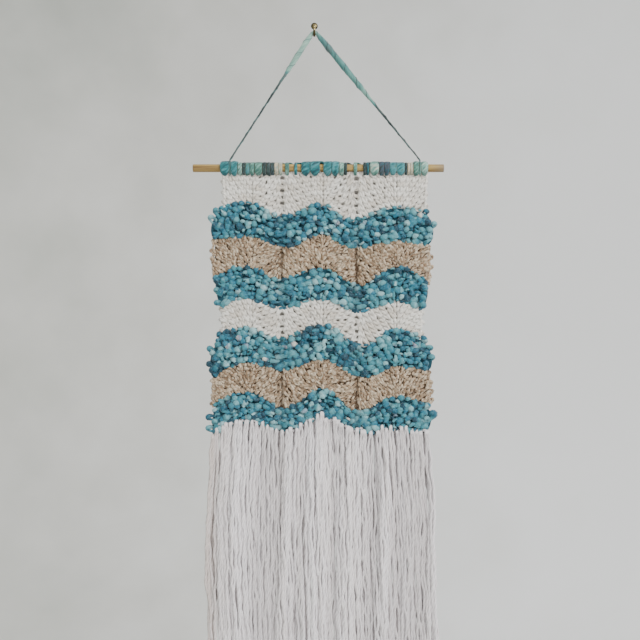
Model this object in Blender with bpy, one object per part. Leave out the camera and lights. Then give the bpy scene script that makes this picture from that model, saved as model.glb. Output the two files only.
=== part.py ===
"""A hand-knitted wall hanging: a striped ripple-stitch panel with a long yarn fringe, lashed to a
wooden dowel that hangs by a thick-and-thin yarn from a small brass screw hook.

Metres, +Z up, +X to the viewer's right, front towards -Y. The origin is the hook screw's axis where
it enters the wall, so the wall's face is the plane y = 0 and the cloth hangs in front of it.
"""

import math
from typing import NamedTuple

import bmesh
import bpy
from mathutils import Vector, noise

MM = 0.001

# Hook: one brass wire with a round flange, a hook in front and a screw behind
WIRE_RADIUS = 1.4 * MM
FLANGE_RADIUS = 4.2 * MM
FLANGE_DEPTH = 1.6 * MM
SCREW_RADIUS = 1.15 * MM
SCREW_LENGTH = 13.0 * MM
BOWL_RADIUS = 4.4 * MM
BOWL_Y = -8.8 * MM
BOWL_Z = -10.0 * MM
HOOK_SIDES = 12

# Dowel: three eighths of an inch thick and a foot long
DOWEL_RADIUS = 4.75 * MM
DOWEL_LEFT, DOWEL_RIGHT = -147.5 * MM, 157.3 * MM
DOWEL_Y, DOWEL_Z = -10.0 * MM, -176.0 * MM
DOWEL_SIDES = 24
DOWEL_CHAMFER = 0.5 * MM

# Spaces
GAP = 0.3 * MM
WIND_CLEAR = 0.5 * MM

# Lashing: how the yarn goes down through the cloth's edge on its way round the dowel
LASH_STEPS = 10
LASH_SIDES = 6
LASH_CROSSOVER = 252
LASH_SQUEEZED_WIDTH = 2.2 * MM
LASH_SQUEEZED_THICKNESS = 1.3 * MM
LASH_DIP = 2.35 * MM
EDGE_BAR = 1.5 * MM
THINNEST_RIB = 1.2 * MM
HOLE_ANGLE = 108
LACING_HOLE_HEIGHT = 3.6 * MM

# Hanger
HANGER_ROUND = 2.5 * MM
HANGER_WOUND_RADIUS = 0.9 * MM
HANGER_ENTRY_HEIGHT = 8.6 * MM
HANGER_SEGMENTS = 24

# Cloth: thickness of each knitted yarn in the middle of a stripe and where stripes meet
EDGE_THICKNESS = 2.4 * MM
SEAM_THICKNESS = 6.0 * MM
CREST_A, CREST_B, CREST_C = -81.0 * MM, 9.5 * MM, 99.5 * MM
CREASE = 0.8 * MM

# Fringe
STRANDS = 70
STRAND_WIDTH = 2.9 * MM
STRAND_DEPTH = 2.4 * MM
LAYER_SPACE = 1.8 * MM
STRIP_HEIGHT = 3.2 * MM
STRIP_CLEAR = 0.5 * MM
FRINGE_BOTTOM = -796.0 * MM
STRAND_SEGMENTS = 3


class Wave(NamedTuple):
    """A line along which the yarn changes, as drops in millimetres below the dowel's axis at the
    left edge, three crests, two valleys and the right edge; then where its ends and valleys lie."""

    left: float
    crest_a: float
    valley_a: float
    crest_b: float
    valley_b: float
    crest_c: float
    right: float
    left_x: float
    valley_a_x: float
    valley_b_x: float
    right_x: float


TOP_DROP = (DOWEL_RADIUS + GAP) / MM
WAVES = (
    Wave(*([TOP_DROP] * 7), -116.0, -39.3, 47.0, 139.0),
    Wave(49.5, 41.0, 58.6, 43.4, 62.9, 46.5, 53.8, -114.0, -39.3, 42.0, 137.0),
    Wave(87.8, 83.1, 96.3, 80.5, 96.9, 88.4, 95.7, -124.4, -35.6, 47.1, 140.7),
    Wave(134.6, 120.0, 135.3, 121.9, 142.6, 120.0, 143.2, -123.8, -45.0, 57.0, 140.7),
    Wave(173.6, 158.4, 171.1, 158.7, 174.8, 162.0, 176.6, -116.0, -41.7, 51.9, 131.0),
    Wave(205.2, 193.0, 207.6, 190.0, 214.3, 195.5, 207.6, -115.0, -45.6, 58.2, 131.0),
    Wave(258.7, 235.6, 245.3, 231.9, 254.4, 240.5, 248.4, -124.4, -40.5, 61.1, 140.7),
    Wave(291.5, 272.1, 291.5, 267.8, 295.2, 278.2, 290.3, -124.4, -35.6, 51.9, 140.7),
    Wave(328.0, 309.2, 320.1, 303.2, 321.3, 317.9, 322.0, -126.3, -32.0, 58.0, 138.3),
)


class Stripe(NamedTuple):
    """A stripe between two waves: its mesh rows, and in millimetres its thickness, how lumpy its
    yarn lies and how far it bulges past its neighbours at each side."""

    rows: tuple
    thickness: float
    lump: float
    left_bulge: float
    right_bulge: float


THIN_ROWS = (0.0, 0.3, 0.7)
SLUB_ROWS = (0.0, 0.07, 0.27, 0.5, 0.73, 0.93)
STRIPES = (
    Stripe((0.0, 0.18, 0.5, 0.82), 5.0, 0.5, 0.0, 0.0),
    Stripe(SLUB_ROWS, 13.5, 1.7, 10.0, 10.0),
    Stripe(THIN_ROWS, 7.0, 0.7, 1.0, 1.2),
    Stripe(SLUB_ROWS, 13.0, 1.7, 3.0, 5.0),
    Stripe(THIN_ROWS, 5.5, 0.5, 0.5, 1.0),
    Stripe(SLUB_ROWS, 13.5, 1.7, 11.0, 11.0),
    Stripe(THIN_ROWS, 7.0, 0.7, 1.0, 1.2),
    Stripe(SLUB_ROWS, 13.0, 1.7, 3.0, 7.0),
)

# Column stops between stations, closer together at the two sides where the cloth rounds off
SIDE_STOPS = (0.0, 0.022, 0.075, 0.17, 0.36, 0.68)
INNER_STOPS = (0.0, 0.17, 0.34, 0.5, 0.66, 0.83)
STATIONS = 6


class Turn(NamedTuple):
    """One turn of the lashing yarn: its width and thickness on the dowel, and the bare space after
    it, in millimetres."""

    width: float
    thickness: float
    space: float


TIGHT = 0.35
HANGER_SLOT = 2.4
LASHING_START = -114.0
TURNS = (
    Turn(10.6, 3.5, HANGER_SLOT), Turn(7.8, 3.7, TIGHT), Turn(5.3, 2.0, TIGHT),
    Turn(3.4, 1.9, TIGHT), Turn(5.2, 2.0, TIGHT), Turn(5.2, 2.1, TIGHT),
    Turn(9.2, 2.3, TIGHT), Turn(4.5, 2.4, TIGHT), Turn(4.5, 2.2, TIGHT),
    Turn(4.5, 2.0, TIGHT), Turn(4.5, 1.9, TIGHT), Turn(4.5, 1.8, 3.6),
    Turn(4.9, 1.8, 6.1), Turn(3.6, 1.7, 4.9), Turn(10.4, 2.9, TIGHT),
    Turn(11.8, 3.5, 4.4), Turn(9.4, 3.4, TIGHT), Turn(8.8, 3.5, TIGHT),
    Turn(5.8, 2.0, TIGHT), Turn(3.5, 1.8, 7.9), Turn(4.3, 1.9, 7.3),
    Turn(3.5, 2.1, TIGHT), Turn(3.5, 2.1, 1.0), Turn(10.6, 3.2, TIGHT),
    Turn(5.8, 2.9, TIGHT), Turn(6.4, 2.9, TIGHT), Turn(8.2, 2.2, TIGHT),
    Turn(9.3, 2.2, TIGHT), Turn(3.0, 1.8, TIGHT), Turn(3.0, 1.8, TIGHT),
    Turn(3.5, 1.9, TIGHT), Turn(6.6, 3.3, HANGER_SLOT), Turn(8.6, 3.0, TIGHT),
)
LEFT_SLOT, RIGHT_SLOT = 0, len(TURNS) - 2


class Slub(NamedTuple):
    """The hanger yarn's radius at a distance from the hook along one leg, in millimetres."""

    along: float
    radius: float


LEFT_SLUBS = (
    Slub(0, 2.2), Slub(6, 2.5), Slub(17, 3.8), Slub(32, 3.0), Slub(46, 3.5), Slub(57, 2.7),
    Slub(66, 1.7), Slub(76, 1.6), Slub(84, 1.15), Slub(127, 1.1), Slub(175, 0.9), Slub(400, 0.9),
)
RIGHT_SLUBS = (
    Slub(0, 2.2), Slub(6, 2.5), Slub(12, 3.1), Slub(27, 3.9), Slub(43, 3.5), Slub(58, 3.7),
    Slub(74, 3.3), Slub(90, 3.7), Slub(101, 2.9), Slub(112, 2.6), Slub(120, 1.5), Slub(127, 0.95),
    Slub(148, 1.15), Slub(161, 0.95), Slub(190, 0.9), Slub(400, 0.9),
)

BRASS = ("brass", (0.55, 0.42, 0.17), 0.3, 1.0)
BIRCH = ("birch", (0.63, 0.46, 0.23), 0.6, 0.0)
SEA_GREEN = ("sea_green_yarn", (0.20, 0.40, 0.42), 0.9, 0.0)
PALE_GREEN = ("pale_green_yarn", (0.42, 0.53, 0.50), 0.9, 0.0)
KNIT = ("knit", (0.55, 0.58, 0.56), 0.95, 0.0)
CREAM = ("cream_yarn", (0.74, 0.72, 0.70), 0.95, 0.0)


def lerp(a, b, t):
    return a + (b - a) * t


def read_table(table, key):
    """The value of a two-column table at key, on straight lines between its rows."""
    for (key_a, value_a), (key_b, value_b) in zip(table, table[1:]):
        if key <= key_b:
            return lerp(value_a, value_b, (key - key_a) / (key_b - key_a))
    return table[-1][1]


def clear_scene():
    for obj in list(bpy.data.objects):
        bpy.data.objects.remove(obj, do_unlink=True)


def make_material(name, colour, roughness, metallic):
    made = bpy.data.materials.get(name) or bpy.data.materials.new(name)
    made.use_nodes = True
    shader = made.node_tree.nodes["Principled BSDF"]
    shader.inputs["Base Color"].default_value = (*colour, 1.0)
    shader.inputs["Roughness"].default_value = roughness
    shader.inputs["Metallic"].default_value = metallic
    return made


def add_object(name, mesh_source, finish):
    """Puts a bmesh in the scene as a smooth-shaded object with one material."""
    bmesh.ops.recalc_face_normals(mesh_source, faces=mesh_source.faces)
    mesh = bpy.data.meshes.new(name)
    mesh_source.to_mesh(mesh)
    mesh_source.free()
    mesh.shade_smooth()
    mesh.set_sharp_from_angle(angle=math.radians(50))
    mesh.materials.append(make_material(*finish))
    obj = bpy.data.objects.new(name, mesh)
    bpy.context.scene.collection.objects.link(obj)
    return obj


def sweep(rings):
    """A closed tube through rings of points, capped at both ends."""
    bm = bmesh.new()
    loops = [[bm.verts.new(point) for point in ring] for ring in rings]
    for near, far in zip(loops, loops[1:]):
        for i in range(len(near)):
            j = (i + 1) % len(near)
            bm.faces.new((near[i], near[j], far[j], far[i]))
    bm.faces.new(loops[0])
    bm.faces.new(reversed(loops[-1]))
    return bm


def hook_ring(y, z, radius, heading):
    """A circle of the hook's section round (0, y, z), square to a heading in the plane x = 0."""
    across = Vector((1.0, 0.0, 0.0))
    upward = across.cross(Vector((0.0, math.cos(heading), math.sin(heading))))
    turn = 2 * math.pi / HOOK_SIDES
    return [
        Vector((0.0, y, z))
        + across * (radius * math.cos(turn * (i + 0.5)))
        + upward * (radius * math.sin(turn * (i + 0.5)))
        for i in range(HOOK_SIDES)
    ]


def make_hook():
    """The screw's point, its shank, the flange and the bent wire, as one turned and bent piece."""
    towards_viewer = math.pi
    turned = [
        (SCREW_LENGTH, 0.12 * MM),
        (SCREW_LENGTH - 3 * MM, SCREW_RADIUS),
        (0.0, SCREW_RADIUS),
        (0.0, FLANGE_RADIUS),
        (-0.4 * FLANGE_DEPTH, FLANGE_RADIUS),
        (-0.8 * FLANGE_DEPTH, 0.78 * FLANGE_RADIUS),
        (-FLANGE_DEPTH, WIRE_RADIUS),
    ]
    rings = [hook_ring(y, 0.0, radius, towards_viewer) for y, radius in turned]

    back_leg = BOWL_Y + BOWL_RADIUS
    bend = -FLANGE_DEPTH - back_leg
    for step in range(1, 5):
        angle = math.radians(90 * step / 4)
        y = -FLANGE_DEPTH - bend * math.sin(angle)
        z = -bend * (1 - math.cos(angle))
        rings.append(hook_ring(y, z, WIRE_RADIUS, math.pi + angle))
    for step in range(9):
        angle = math.radians(180 * step / 8)
        y = BOWL_Y + BOWL_RADIUS * math.cos(angle)
        z = BOWL_Z - BOWL_RADIUS * math.sin(angle)
        rings.append(hook_ring(y, z, WIRE_RADIUS, 1.5 * math.pi - angle))
    tip_y = BOWL_Y - BOWL_RADIUS
    for rise, share in ((0.5, 1.0), (1.1, 0.8), (1.5, 0.4)):
        z = BOWL_Z + rise * MM
        rings.append(hook_ring(tip_y, z, share * WIRE_RADIUS, 0.5 * math.pi))
    add_object("hook", sweep(rings), BRASS)


def make_dowel():
    bm = bmesh.new()
    bmesh.ops.create_cone(
        bm, cap_ends=True, segments=DOWEL_SIDES, radius1=DOWEL_RADIUS, radius2=DOWEL_RADIUS,
        depth=DOWEL_RIGHT - DOWEL_LEFT,
    )
    rims = [edge for edge in bm.edges if abs(edge.verts[0].co.z - edge.verts[1].co.z) < DOWEL_CHAMFER]
    bmesh.ops.bevel(bm, geom=rims, offset=DOWEL_CHAMFER, segments=1, affect="EDGES")
    dowel = add_object("dowel", bm, BIRCH)
    dowel.rotation_euler = (0.0, math.radians(90), 0.0)
    dowel.location = ((DOWEL_LEFT + DOWEL_RIGHT) / 2, DOWEL_Y, DOWEL_Z)


def turn_centres():
    """Where each turn of the lashing lies along the dowel, in metres."""
    centres = []
    edge = LASHING_START
    for turn in TURNS:
        centres.append((edge + turn.width / 2) * MM)
        edge += turn.width + turn.space
    return centres


def wound_point(x, degrees, out):
    """A point out from the dowel's axis; 0 degrees is behind it, 90 below, 180 in front, 270 above."""
    angle = math.radians(degrees)
    return Vector((x, DOWEL_Y + out * math.cos(angle), DOWEL_Z - out * math.sin(angle)))


def dip(degrees):
    """How far the yarn has left the wood for the cloth's edge, from 0 to 1."""
    return max(0.0, math.cos(math.radians(degrees - 90))) ** 2


def wound_distance(half_thickness, degrees):
    return DOWEL_RADIUS + WIND_CLEAR + half_thickness + LASH_DIP * dip(degrees)


def squeezed(half_size, limit, degrees):
    """Half a yarn's width or thickness, held to a limit where the cloth's edge squeezes it."""
    return lerp(half_size, min(half_size, limit), dip(degrees))


def lashing_ring(centres, turn_number, degrees):
    """The yarn's section on one turn: a flat oval, squeezed where it passes through the cloth."""
    following = min(turn_number + 1, len(TURNS) - 1)
    share = max(0.0, (degrees - LASH_CROSSOVER) / (360 - LASH_CROSSOVER))
    x = lerp(centres[turn_number], centres[following], share)
    half_width = lerp(TURNS[turn_number].width, TURNS[following].width, share) * MM / 2
    half_thickness = lerp(TURNS[turn_number].thickness, TURNS[following].thickness, share) * MM / 2
    half_width = squeezed(half_width, LASH_SQUEEZED_WIDTH, degrees)
    half_thickness = squeezed(half_thickness, LASH_SQUEEZED_THICKNESS, degrees)
    out = wound_distance(half_thickness, degrees)
    ring = []
    for i in range(LASH_SIDES):
        angle = 2 * math.pi * i / LASH_SIDES
        at = x + half_width * math.cos(angle)
        ring.append(wound_point(at, degrees, out + half_thickness * math.sin(angle)))
    return ring


def make_lashing():
    """One yarn wound round the dowel and down through the cloth's top edge at every turn."""
    centres = turn_centres()
    step = 360 // LASH_STEPS
    rings = []
    for turn_number in range(len(TURNS)):
        last = turn_number == len(TURNS) - 1
        first_angle = 2 * step if turn_number == 0 else 0
        for degrees in range(first_angle, 8 * step if last else 360, step):
            rings.append(lashing_ring(centres, turn_number, degrees))
    add_object("lashing", sweep(rings), SEA_GREEN)


def slot_centre(slot):
    """The middle of the space after a turn, where a leg of the hanger goes round the dowel."""
    centre = turn_centres()[slot]
    return centre + (TURNS[slot].width + TURNS[slot].space) / 2 * MM


def hanger_wrap(x):
    """The leg's end: down the dowel's front, under through the cloth's edge, and up its back."""
    return [
        wound_point(x, degrees, wound_distance(HANGER_WOUND_RADIUS, degrees))
        for degrees in range(180, 8, -19)
    ]


def hanger_leg(x, slubs):
    """One leg as (point, radius) pairs, from the top of the hook's bowl to the tail."""
    side = math.copysign(1.0, x)
    wire_z = BOWL_Z - BOWL_RADIUS
    over = WIRE_RADIUS + GAP + slubs[0].radius * MM
    front = wound_distance(HANGER_WOUND_RADIUS, 180)
    entry = Vector((x, DOWEL_Y - front, DOWEL_Z + HANGER_ENTRY_HEIGHT))
    slope = math.atan2(wire_z + over - entry.z, abs(x))
    points = []
    for step in range(5):
        angle = slope * step / 4
        points.append(Vector((side * over * math.sin(angle), BOWL_Y, wire_z + over * math.cos(angle))))
    start = points[-1]
    for step in range(1, HANGER_SEGMENTS):
        points.append(start.lerp(entry, step / HANGER_SEGMENTS))
    points.append(entry + Vector((-side * 0.3 * MM, 0.0, 0.3 * MM)))
    points.append(entry + Vector((0.0, 0.0, -HANGER_ROUND)))
    points.extend(hanger_wrap(x))

    leg = []
    along = 0.0
    for before, point in zip([points[0]] + points, points):
        along += (point - before).length
        leg.append((point, read_table(slubs, along / MM) * MM))
    return leg


def make_hanger():
    """The thick-and-thin yarn over the hook, round the dowel at both ends."""
    left = hanger_leg(slot_centre(LEFT_SLOT), LEFT_SLUBS)
    right = hanger_leg(slot_centre(RIGHT_SLOT), RIGHT_SLUBS)
    route = left[::-1] + right[1:]
    curve = bpy.data.curves.new("hanger", "CURVE")
    curve.dimensions = "3D"
    curve.bevel_depth = MM
    curve.bevel_resolution = 2
    curve.use_fill_caps = True
    spline = curve.splines.new("POLY")
    spline.points.add(len(route) - 1)
    for target, (point, radius) in zip(spline.points, route):
        target.co = (*point, 1.0)
        target.radius = radius / MM
    curve.materials.append(make_material(*PALE_GREEN))
    hanger = bpy.data.objects.new("hanger", curve)
    bpy.context.scene.collection.objects.link(hanger)


def station_values(wave):
    """A wave's seven stations, as their places across and their heights, in metres."""
    across = (wave.left_x * MM, CREST_A, wave.valley_a_x * MM, CREST_B, wave.valley_b_x * MM,
              CREST_C, wave.right_x * MM)
    heights = tuple(DOWEL_Z - drop * MM for drop in wave[:7])
    return across, heights


def blend_stations(values, column, level):
    """A value between stations: level for places, or rounded at crests and valleys for heights."""
    left = min(int(column), STATIONS - 1)
    share = column - left
    if not level:
        if left == 0:
            share = 1 - (1 - share) ** 2
        elif left == STATIONS - 1:
            share = share**2
        else:
            share = (1 - math.cos(math.pi * share)) / 2
    return lerp(values[left], values[left + 1], share)


def side_bulge(stripe, column, down):
    """How far a stripe's round side stands out past the lines where it meets its neighbours."""
    swell = math.sin(math.pi * down) ** 0.6 if 0 < down < 1 else 0.0
    if column < 1:
        return -stripe.left_bulge * MM * swell * (1 - column) ** 2
    if column > STATIONS - 1:
        return stripe.right_bulge * MM * swell * (column - STATIONS + 1) ** 2
    return 0.0


def cloth_place(stripe_number, column, down):
    """The middle of the cloth at a station column and a share of the way down a stripe."""
    above, below = WAVES[stripe_number], WAVES[stripe_number + 1]
    across_a, heights_a = station_values(above)
    across_b, heights_b = station_values(below)
    x = lerp(blend_stations(across_a, column, True), blend_stations(across_b, column, True), down)
    z = lerp(blend_stations(heights_a, column, False), blend_stations(heights_b, column, False), down)
    return x + side_bulge(STRIPES[stripe_number], column, down), z


def cloth_thickness(stripe_number, column, down):
    """Full thickness, thinner at the top edge, where stripes meet, in the creases and at the sides."""
    stripe = STRIPES[stripe_number]
    seam = min(SEAM_THICKNESS, stripe.thickness * MM)
    top = EDGE_THICKNESS if stripe_number == 0 else seam
    full = stripe.thickness * MM
    if down < 0.5:
        thickness = lerp(top, full, math.sin(math.pi * down) ** 0.6 if down > 0 else 0.0)
    else:
        thickness = lerp(seam, full, math.sin(math.pi * down) ** 0.6 if down < 1 else 0.0)
    valley_distance = min(abs(column - 2), abs(column - 4))
    thickness -= CREASE * max(0.0, 1 - 5 * valley_distance)
    side = min(column, STATIONS - column)
    reach = 2.4 * thickness / (40 * MM)
    inward = min(1.0, side / reach)
    return max(0.3 * thickness, thickness * math.sqrt(1 - (1 - inward) ** 2))


def cloth_lump(stripe_number, x, z):
    """How far the knitted yarn stands out of the cloth's even surface."""
    return STRIPES[stripe_number].lump * MM * noise.noise(Vector((x, 0.0, z)) / (9 * MM))


def cloth_swing(x, z):
    """The slight curl with which the cloth hangs, nothing at the dowel."""
    drop = (DOWEL_Z - z) / (300 * MM)
    return 1.2 * MM * drop * math.sin(x / (52 * MM) + 0.6)


def cloth_columns():
    columns = list(SIDE_STOPS)
    for station in range(1, STATIONS - 1):
        columns.extend(station + stop for stop in INNER_STOPS)
    columns.append(STATIONS - 1)
    columns.extend(STATIONS - stop for stop in reversed(SIDE_STOPS))
    return columns


def cloth_points(stripe_number, column, down):
    """The front and back points of the cloth at one place."""
    x, z = cloth_place(stripe_number, column, down)
    half = cloth_thickness(stripe_number, column, down) / 2
    edge = column in (0, STATIONS) or (stripe_number == 0 and down == 0)
    lump = 0.0 if edge else cloth_lump(stripe_number, x, z)
    middle = DOWEL_Y - cloth_swing(x, z)
    front = Vector((x, middle - half - lump, z))
    back = Vector((x, middle + 0.85 * half - 0.4 * lump, z))
    return front, back


def cloth_rows():
    rows = [(number, down) for number, stripe in enumerate(STRIPES) for down in stripe.rows]
    return rows + [(len(STRIPES) - 1, 1.0)]


def lacing_spans():
    """The stretches of the top edge that the lashing and the hanger pass through, joined where no
    yarn of the cloth's edge would be left between them."""
    spans = []
    for centre, turn in zip(turn_centres(), TURNS):
        reach = squeezed(turn.width * MM / 2, LASH_SQUEEZED_WIDTH, HOLE_ANGLE) + GAP
        spans.append((centre - reach, centre + reach))
    for slot in (LEFT_SLOT, RIGHT_SLOT):
        centre = slot_centre(slot)
        spans.append((centre - HANGER_WOUND_RADIUS - GAP, centre + HANGER_WOUND_RADIUS + GAP))
    joined = []
    for low, high in sorted(spans):
        if joined and low - joined[-1][1] < THINNEST_RIB:
            joined[-1] = (joined[-1][0], max(high, joined[-1][1]))
        else:
            joined.append((low, high))
    return joined


def make_lacing_cutter():
    bm = bmesh.new()
    top = DOWEL_Z - DOWEL_RADIUS - GAP - EDGE_BAR
    for low, high in lacing_spans():
        box = bmesh.ops.create_cube(bm, size=1.0)["verts"]
        bmesh.ops.scale(bm, verts=box, vec=(high - low, 12 * MM, LACING_HOLE_HEIGHT))
        centre = Vector(((low + high) / 2, DOWEL_Y, top - LACING_HOLE_HEIGHT / 2))
        bmesh.ops.translate(bm, verts=box, vec=centre)
    cutter = add_object("lacing_cutter", bm, KNIT)
    cutter.hide_render = True
    cutter.display_type = "WIRE"
    return cutter


def make_panel():
    """The whole knitted cloth: eight wavy stripes in one piece, laced through at its top edge."""
    bm = bmesh.new()
    columns = cloth_columns()
    grid = []
    for number, down in cloth_rows():
        pairs = [cloth_points(number, column, down) for column in columns]
        grid.append([(bm.verts.new(front), bm.verts.new(back)) for front, back in pairs])
    for upper, lower in zip(grid, grid[1:]):
        for i in range(len(columns) - 1):
            for side in (0, 1):
                corners = (upper[i][side], upper[i + 1][side], lower[i + 1][side], lower[i][side])
                bm.faces.new(corners)
        for i in (0, -1):
            bm.faces.new((upper[i][0], upper[i][1], lower[i][1], lower[i][0]))
    for row in (grid[0], grid[-1]):
        for near, far in zip(row, row[1:]):
            bm.faces.new((near[0], near[1], far[1], far[0]))
    panel = add_object("knitted_panel", bm, KNIT)
    lacing = panel.modifiers.new("lacing", "BOOLEAN")
    lacing.operation = "DIFFERENCE"
    lacing.object = make_lacing_cutter()


def hem_height(x):
    """The height of the cloth's bottom edge at a place across, as the cloth's own mesh has it."""
    edge = [cloth_place(len(STRIPES) - 1, column, 1.0) for column in cloth_columns()]
    return read_table(edge, x)


def strand_sway(x, share):
    """How far a strand's place x has moved sideways at a share of its length."""
    left, right = WAVES[-1].left_x * MM, WAVES[-1].right_x * MM
    across = (x - left) / (right - left)
    spread = lerp(-7 * MM, 1 * MM, across) * min(1.0, 3 * share) + 6 * MM * share**2
    wave = 1.5 * MM * math.sin(x / (13 * MM) + 2.2 * share) * share
    return spread + wave


def fringe_stops():
    """The strip's lines across: the two edges of every strand."""
    left, right = WAVES[-1].left_x * MM, WAVES[-1].right_x * MM
    pitch = (right - left) / STRANDS
    stops = []
    for i in range(STRANDS):
        centre = left + pitch * (i + 0.5)
        stops += [centre - STRAND_WIDTH / 2, centre + STRAND_WIDTH / 2]
    return stops, pitch


def hang_strand(bm, root, layer, number, pitch):
    """Draws one strand down from its root face."""
    top = min(vert.co.z for vert in root.verts)
    length = top - FRINGE_BOTTOM + 7 * MM * noise.noise(Vector((number * 3.7, layer * 5.1, 0.0)))
    face = root
    starts = [vert.co.copy() for vert in root.verts]
    middle = sum(starts, Vector()) / len(starts)
    for step in range(1, STRAND_SEGMENTS + 1):
        share = step / STRAND_SEGMENTS
        made = bmesh.ops.extrude_discrete_faces(bm, faces=[face])
        face = made["faces"][0]
        slim = 1 - 0.12 * share
        sideways = strand_sway(middle.x, share) + layer * pitch / 2 * min(1.0, 1.5 * share)
        forward = (0.5 - layer) * 1.6 * MM * share
        for vert, start in zip(face.verts, starts):
            offset = start - middle
            vert.co.x = middle.x + offset.x * slim + sideways
            vert.co.y = middle.y + offset.y * slim - forward
            vert.co.z = middle.z + offset.z * (1 - share) - length * share


def make_fringe():
    """A strip under the cloth's edge with two layers of strands hanging from it."""
    bm = bmesh.new()
    stops, pitch = fringe_stops()
    depth_middle = DOWEL_Y - cloth_swing(0.0, FRINGE_BOTTOM / 2)
    front = depth_middle - LAYER_SPACE / 2 - STRAND_DEPTH
    lines = (front, front + STRAND_DEPTH, front + STRAND_DEPTH + LAYER_SPACE,
             front + 2 * STRAND_DEPTH + LAYER_SPACE)
    upper, lower = [], []
    for x in stops:
        z = hem_height(x) - STRIP_CLEAR
        upper.append([bm.verts.new((x, y, z)) for y in (lines[0], lines[-1])])
        lower.append([bm.verts.new((x, y, z - STRIP_HEIGHT)) for y in lines])
    roots = []
    for i in range(len(stops) - 1):
        bm.faces.new((upper[i][0], upper[i + 1][0], upper[i + 1][1], upper[i][1]))
        bm.faces.new((upper[i][0], upper[i + 1][0], lower[i + 1][0], lower[i][0]))
        bm.faces.new((upper[i][1], upper[i + 1][1], lower[i + 1][-1], lower[i][-1]))
        for j in range(3):
            cell = bm.faces.new((lower[i][j], lower[i + 1][j], lower[i + 1][j + 1], lower[i][j + 1]))
            if i % 2 == 0 and j != 1:
                roots.append((cell, 0 if j == 0 else 1, i // 2))
    for i in (0, -1):
        bm.faces.new((upper[i][0], *lower[i], upper[i][1]))
    for root, layer, number in roots:
        hang_strand(bm, root, layer, number, pitch)
    add_object("fringe", bm, CREAM)


def main():
    clear_scene()
    make_hook()
    make_dowel()
    make_panel()
    make_lashing()
    make_hanger()
    make_fringe()


main()
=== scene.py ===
"""The looks of a hand-knitted wall hanging: slub yarn lashed round a dowel, eight rippling stripes of
real stitches and a long plied fringe, hung by a thick-and-thin yarn from a small brass screw hook.

Metres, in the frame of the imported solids: +Z up, +X to the viewer's right, the front towards -Y and
the wall's face at y = 0.
"""

import logging
import math
from dataclasses import dataclass, field
from enum import Enum
from typing import NamedTuple

import bpy
import numpy as np
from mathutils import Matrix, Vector


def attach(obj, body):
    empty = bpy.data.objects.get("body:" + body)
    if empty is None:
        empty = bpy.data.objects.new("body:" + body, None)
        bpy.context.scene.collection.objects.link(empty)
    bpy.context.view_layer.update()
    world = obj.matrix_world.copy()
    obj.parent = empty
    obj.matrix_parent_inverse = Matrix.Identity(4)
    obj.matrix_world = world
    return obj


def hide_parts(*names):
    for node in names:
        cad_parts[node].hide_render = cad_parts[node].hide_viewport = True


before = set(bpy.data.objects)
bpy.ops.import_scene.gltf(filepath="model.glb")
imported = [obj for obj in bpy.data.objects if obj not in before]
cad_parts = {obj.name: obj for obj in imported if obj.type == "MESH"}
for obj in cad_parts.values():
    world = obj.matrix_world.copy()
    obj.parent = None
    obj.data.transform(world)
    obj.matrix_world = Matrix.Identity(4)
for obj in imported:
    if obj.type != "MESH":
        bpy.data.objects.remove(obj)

MM = 0.001
BODY = "root"
BACKWARD = np.array((0.0, 1.0, 0.0))
RIGHTWARD = np.array((1.0, 0.0, 0.0))
Array = np.ndarray
Numbers = float | Array
Piece = bpy.types.Object
Socket = bpy.types.NodeSocket
Value = float | tuple | Socket
log = logging.getLogger("wall_hanging")

# Places that the solids share with these pieces
WIRE_RADIUS = 1.4 * MM
FLANGE_RADIUS = 4.2 * MM
FLANGE_DEPTH = 1.6 * MM
SCREW_RADIUS = 1.15 * MM
SCREW_LENGTH = 13.0 * MM
BOWL_RADIUS = 4.4 * MM
BOWL_Y, BOWL_Z = -8.8 * MM, -10.0 * MM
DOWEL_RADIUS = 4.75 * MM
DOWEL_LEFT, DOWEL_RIGHT = -147.5 * MM, 157.3 * MM
DOWEL_Y, DOWEL_Z = -10.0 * MM, -176.0 * MM
WIND_CLEAR = 0.5 * MM
LASHING_START = -114.0 * MM
LASH_DIP = 2.35 * MM
LASH_CROSSOVER = 252.0
EDGE_BAR = 1.5 * MM
FRINGE_BOTTOM = -796.0 * MM
STATIONS = 6
FINE_COLUMNS = 241
CREST_A, CREST_B, CREST_C = -81.0, 9.5, 99.5


class Wave(NamedTuple):
    """A line where the yarn changes: drops in millimetres below the dowel's axis at the left edge,
    three crests, two valleys and the right edge, then where its ends and valleys lie."""

    left: float
    crest_a: float
    valley_a: float
    crest_b: float
    valley_b: float
    crest_c: float
    right: float
    left_x: float
    valley_a_x: float
    valley_b_x: float
    right_x: float


WAVES = (
    Wave(*([5.05] * 7), -116.0, -39.3, 47.0, 139.0),
    Wave(49.5, 41.0, 58.6, 43.4, 62.9, 46.5, 53.8, -114.0, -39.3, 42.0, 137.0),
    Wave(87.8, 83.1, 96.3, 80.5, 96.9, 88.4, 95.7, -124.4, -35.6, 47.1, 140.7),
    Wave(134.6, 120.0, 135.3, 121.9, 142.6, 120.0, 143.2, -123.8, -45.0, 57.0, 140.7),
    Wave(173.6, 158.4, 171.1, 158.7, 174.8, 162.0, 176.6, -116.0, -41.7, 51.9, 131.0),
    Wave(205.2, 193.0, 207.6, 190.0, 214.3, 195.5, 207.6, -115.0, -45.6, 58.2, 131.0),
    Wave(258.7, 235.6, 245.3, 231.9, 254.4, 240.5, 248.4, -124.4, -40.5, 61.1, 140.7),
    Wave(291.5, 272.1, 291.5, 267.8, 295.2, 278.2, 290.3, -124.4, -35.6, 51.9, 140.7),
    Wave(328.0, 309.2, 320.1, 303.2, 321.3, 317.9, 322.0, -126.3, -32.0, 58.0, 138.3),
)
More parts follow.
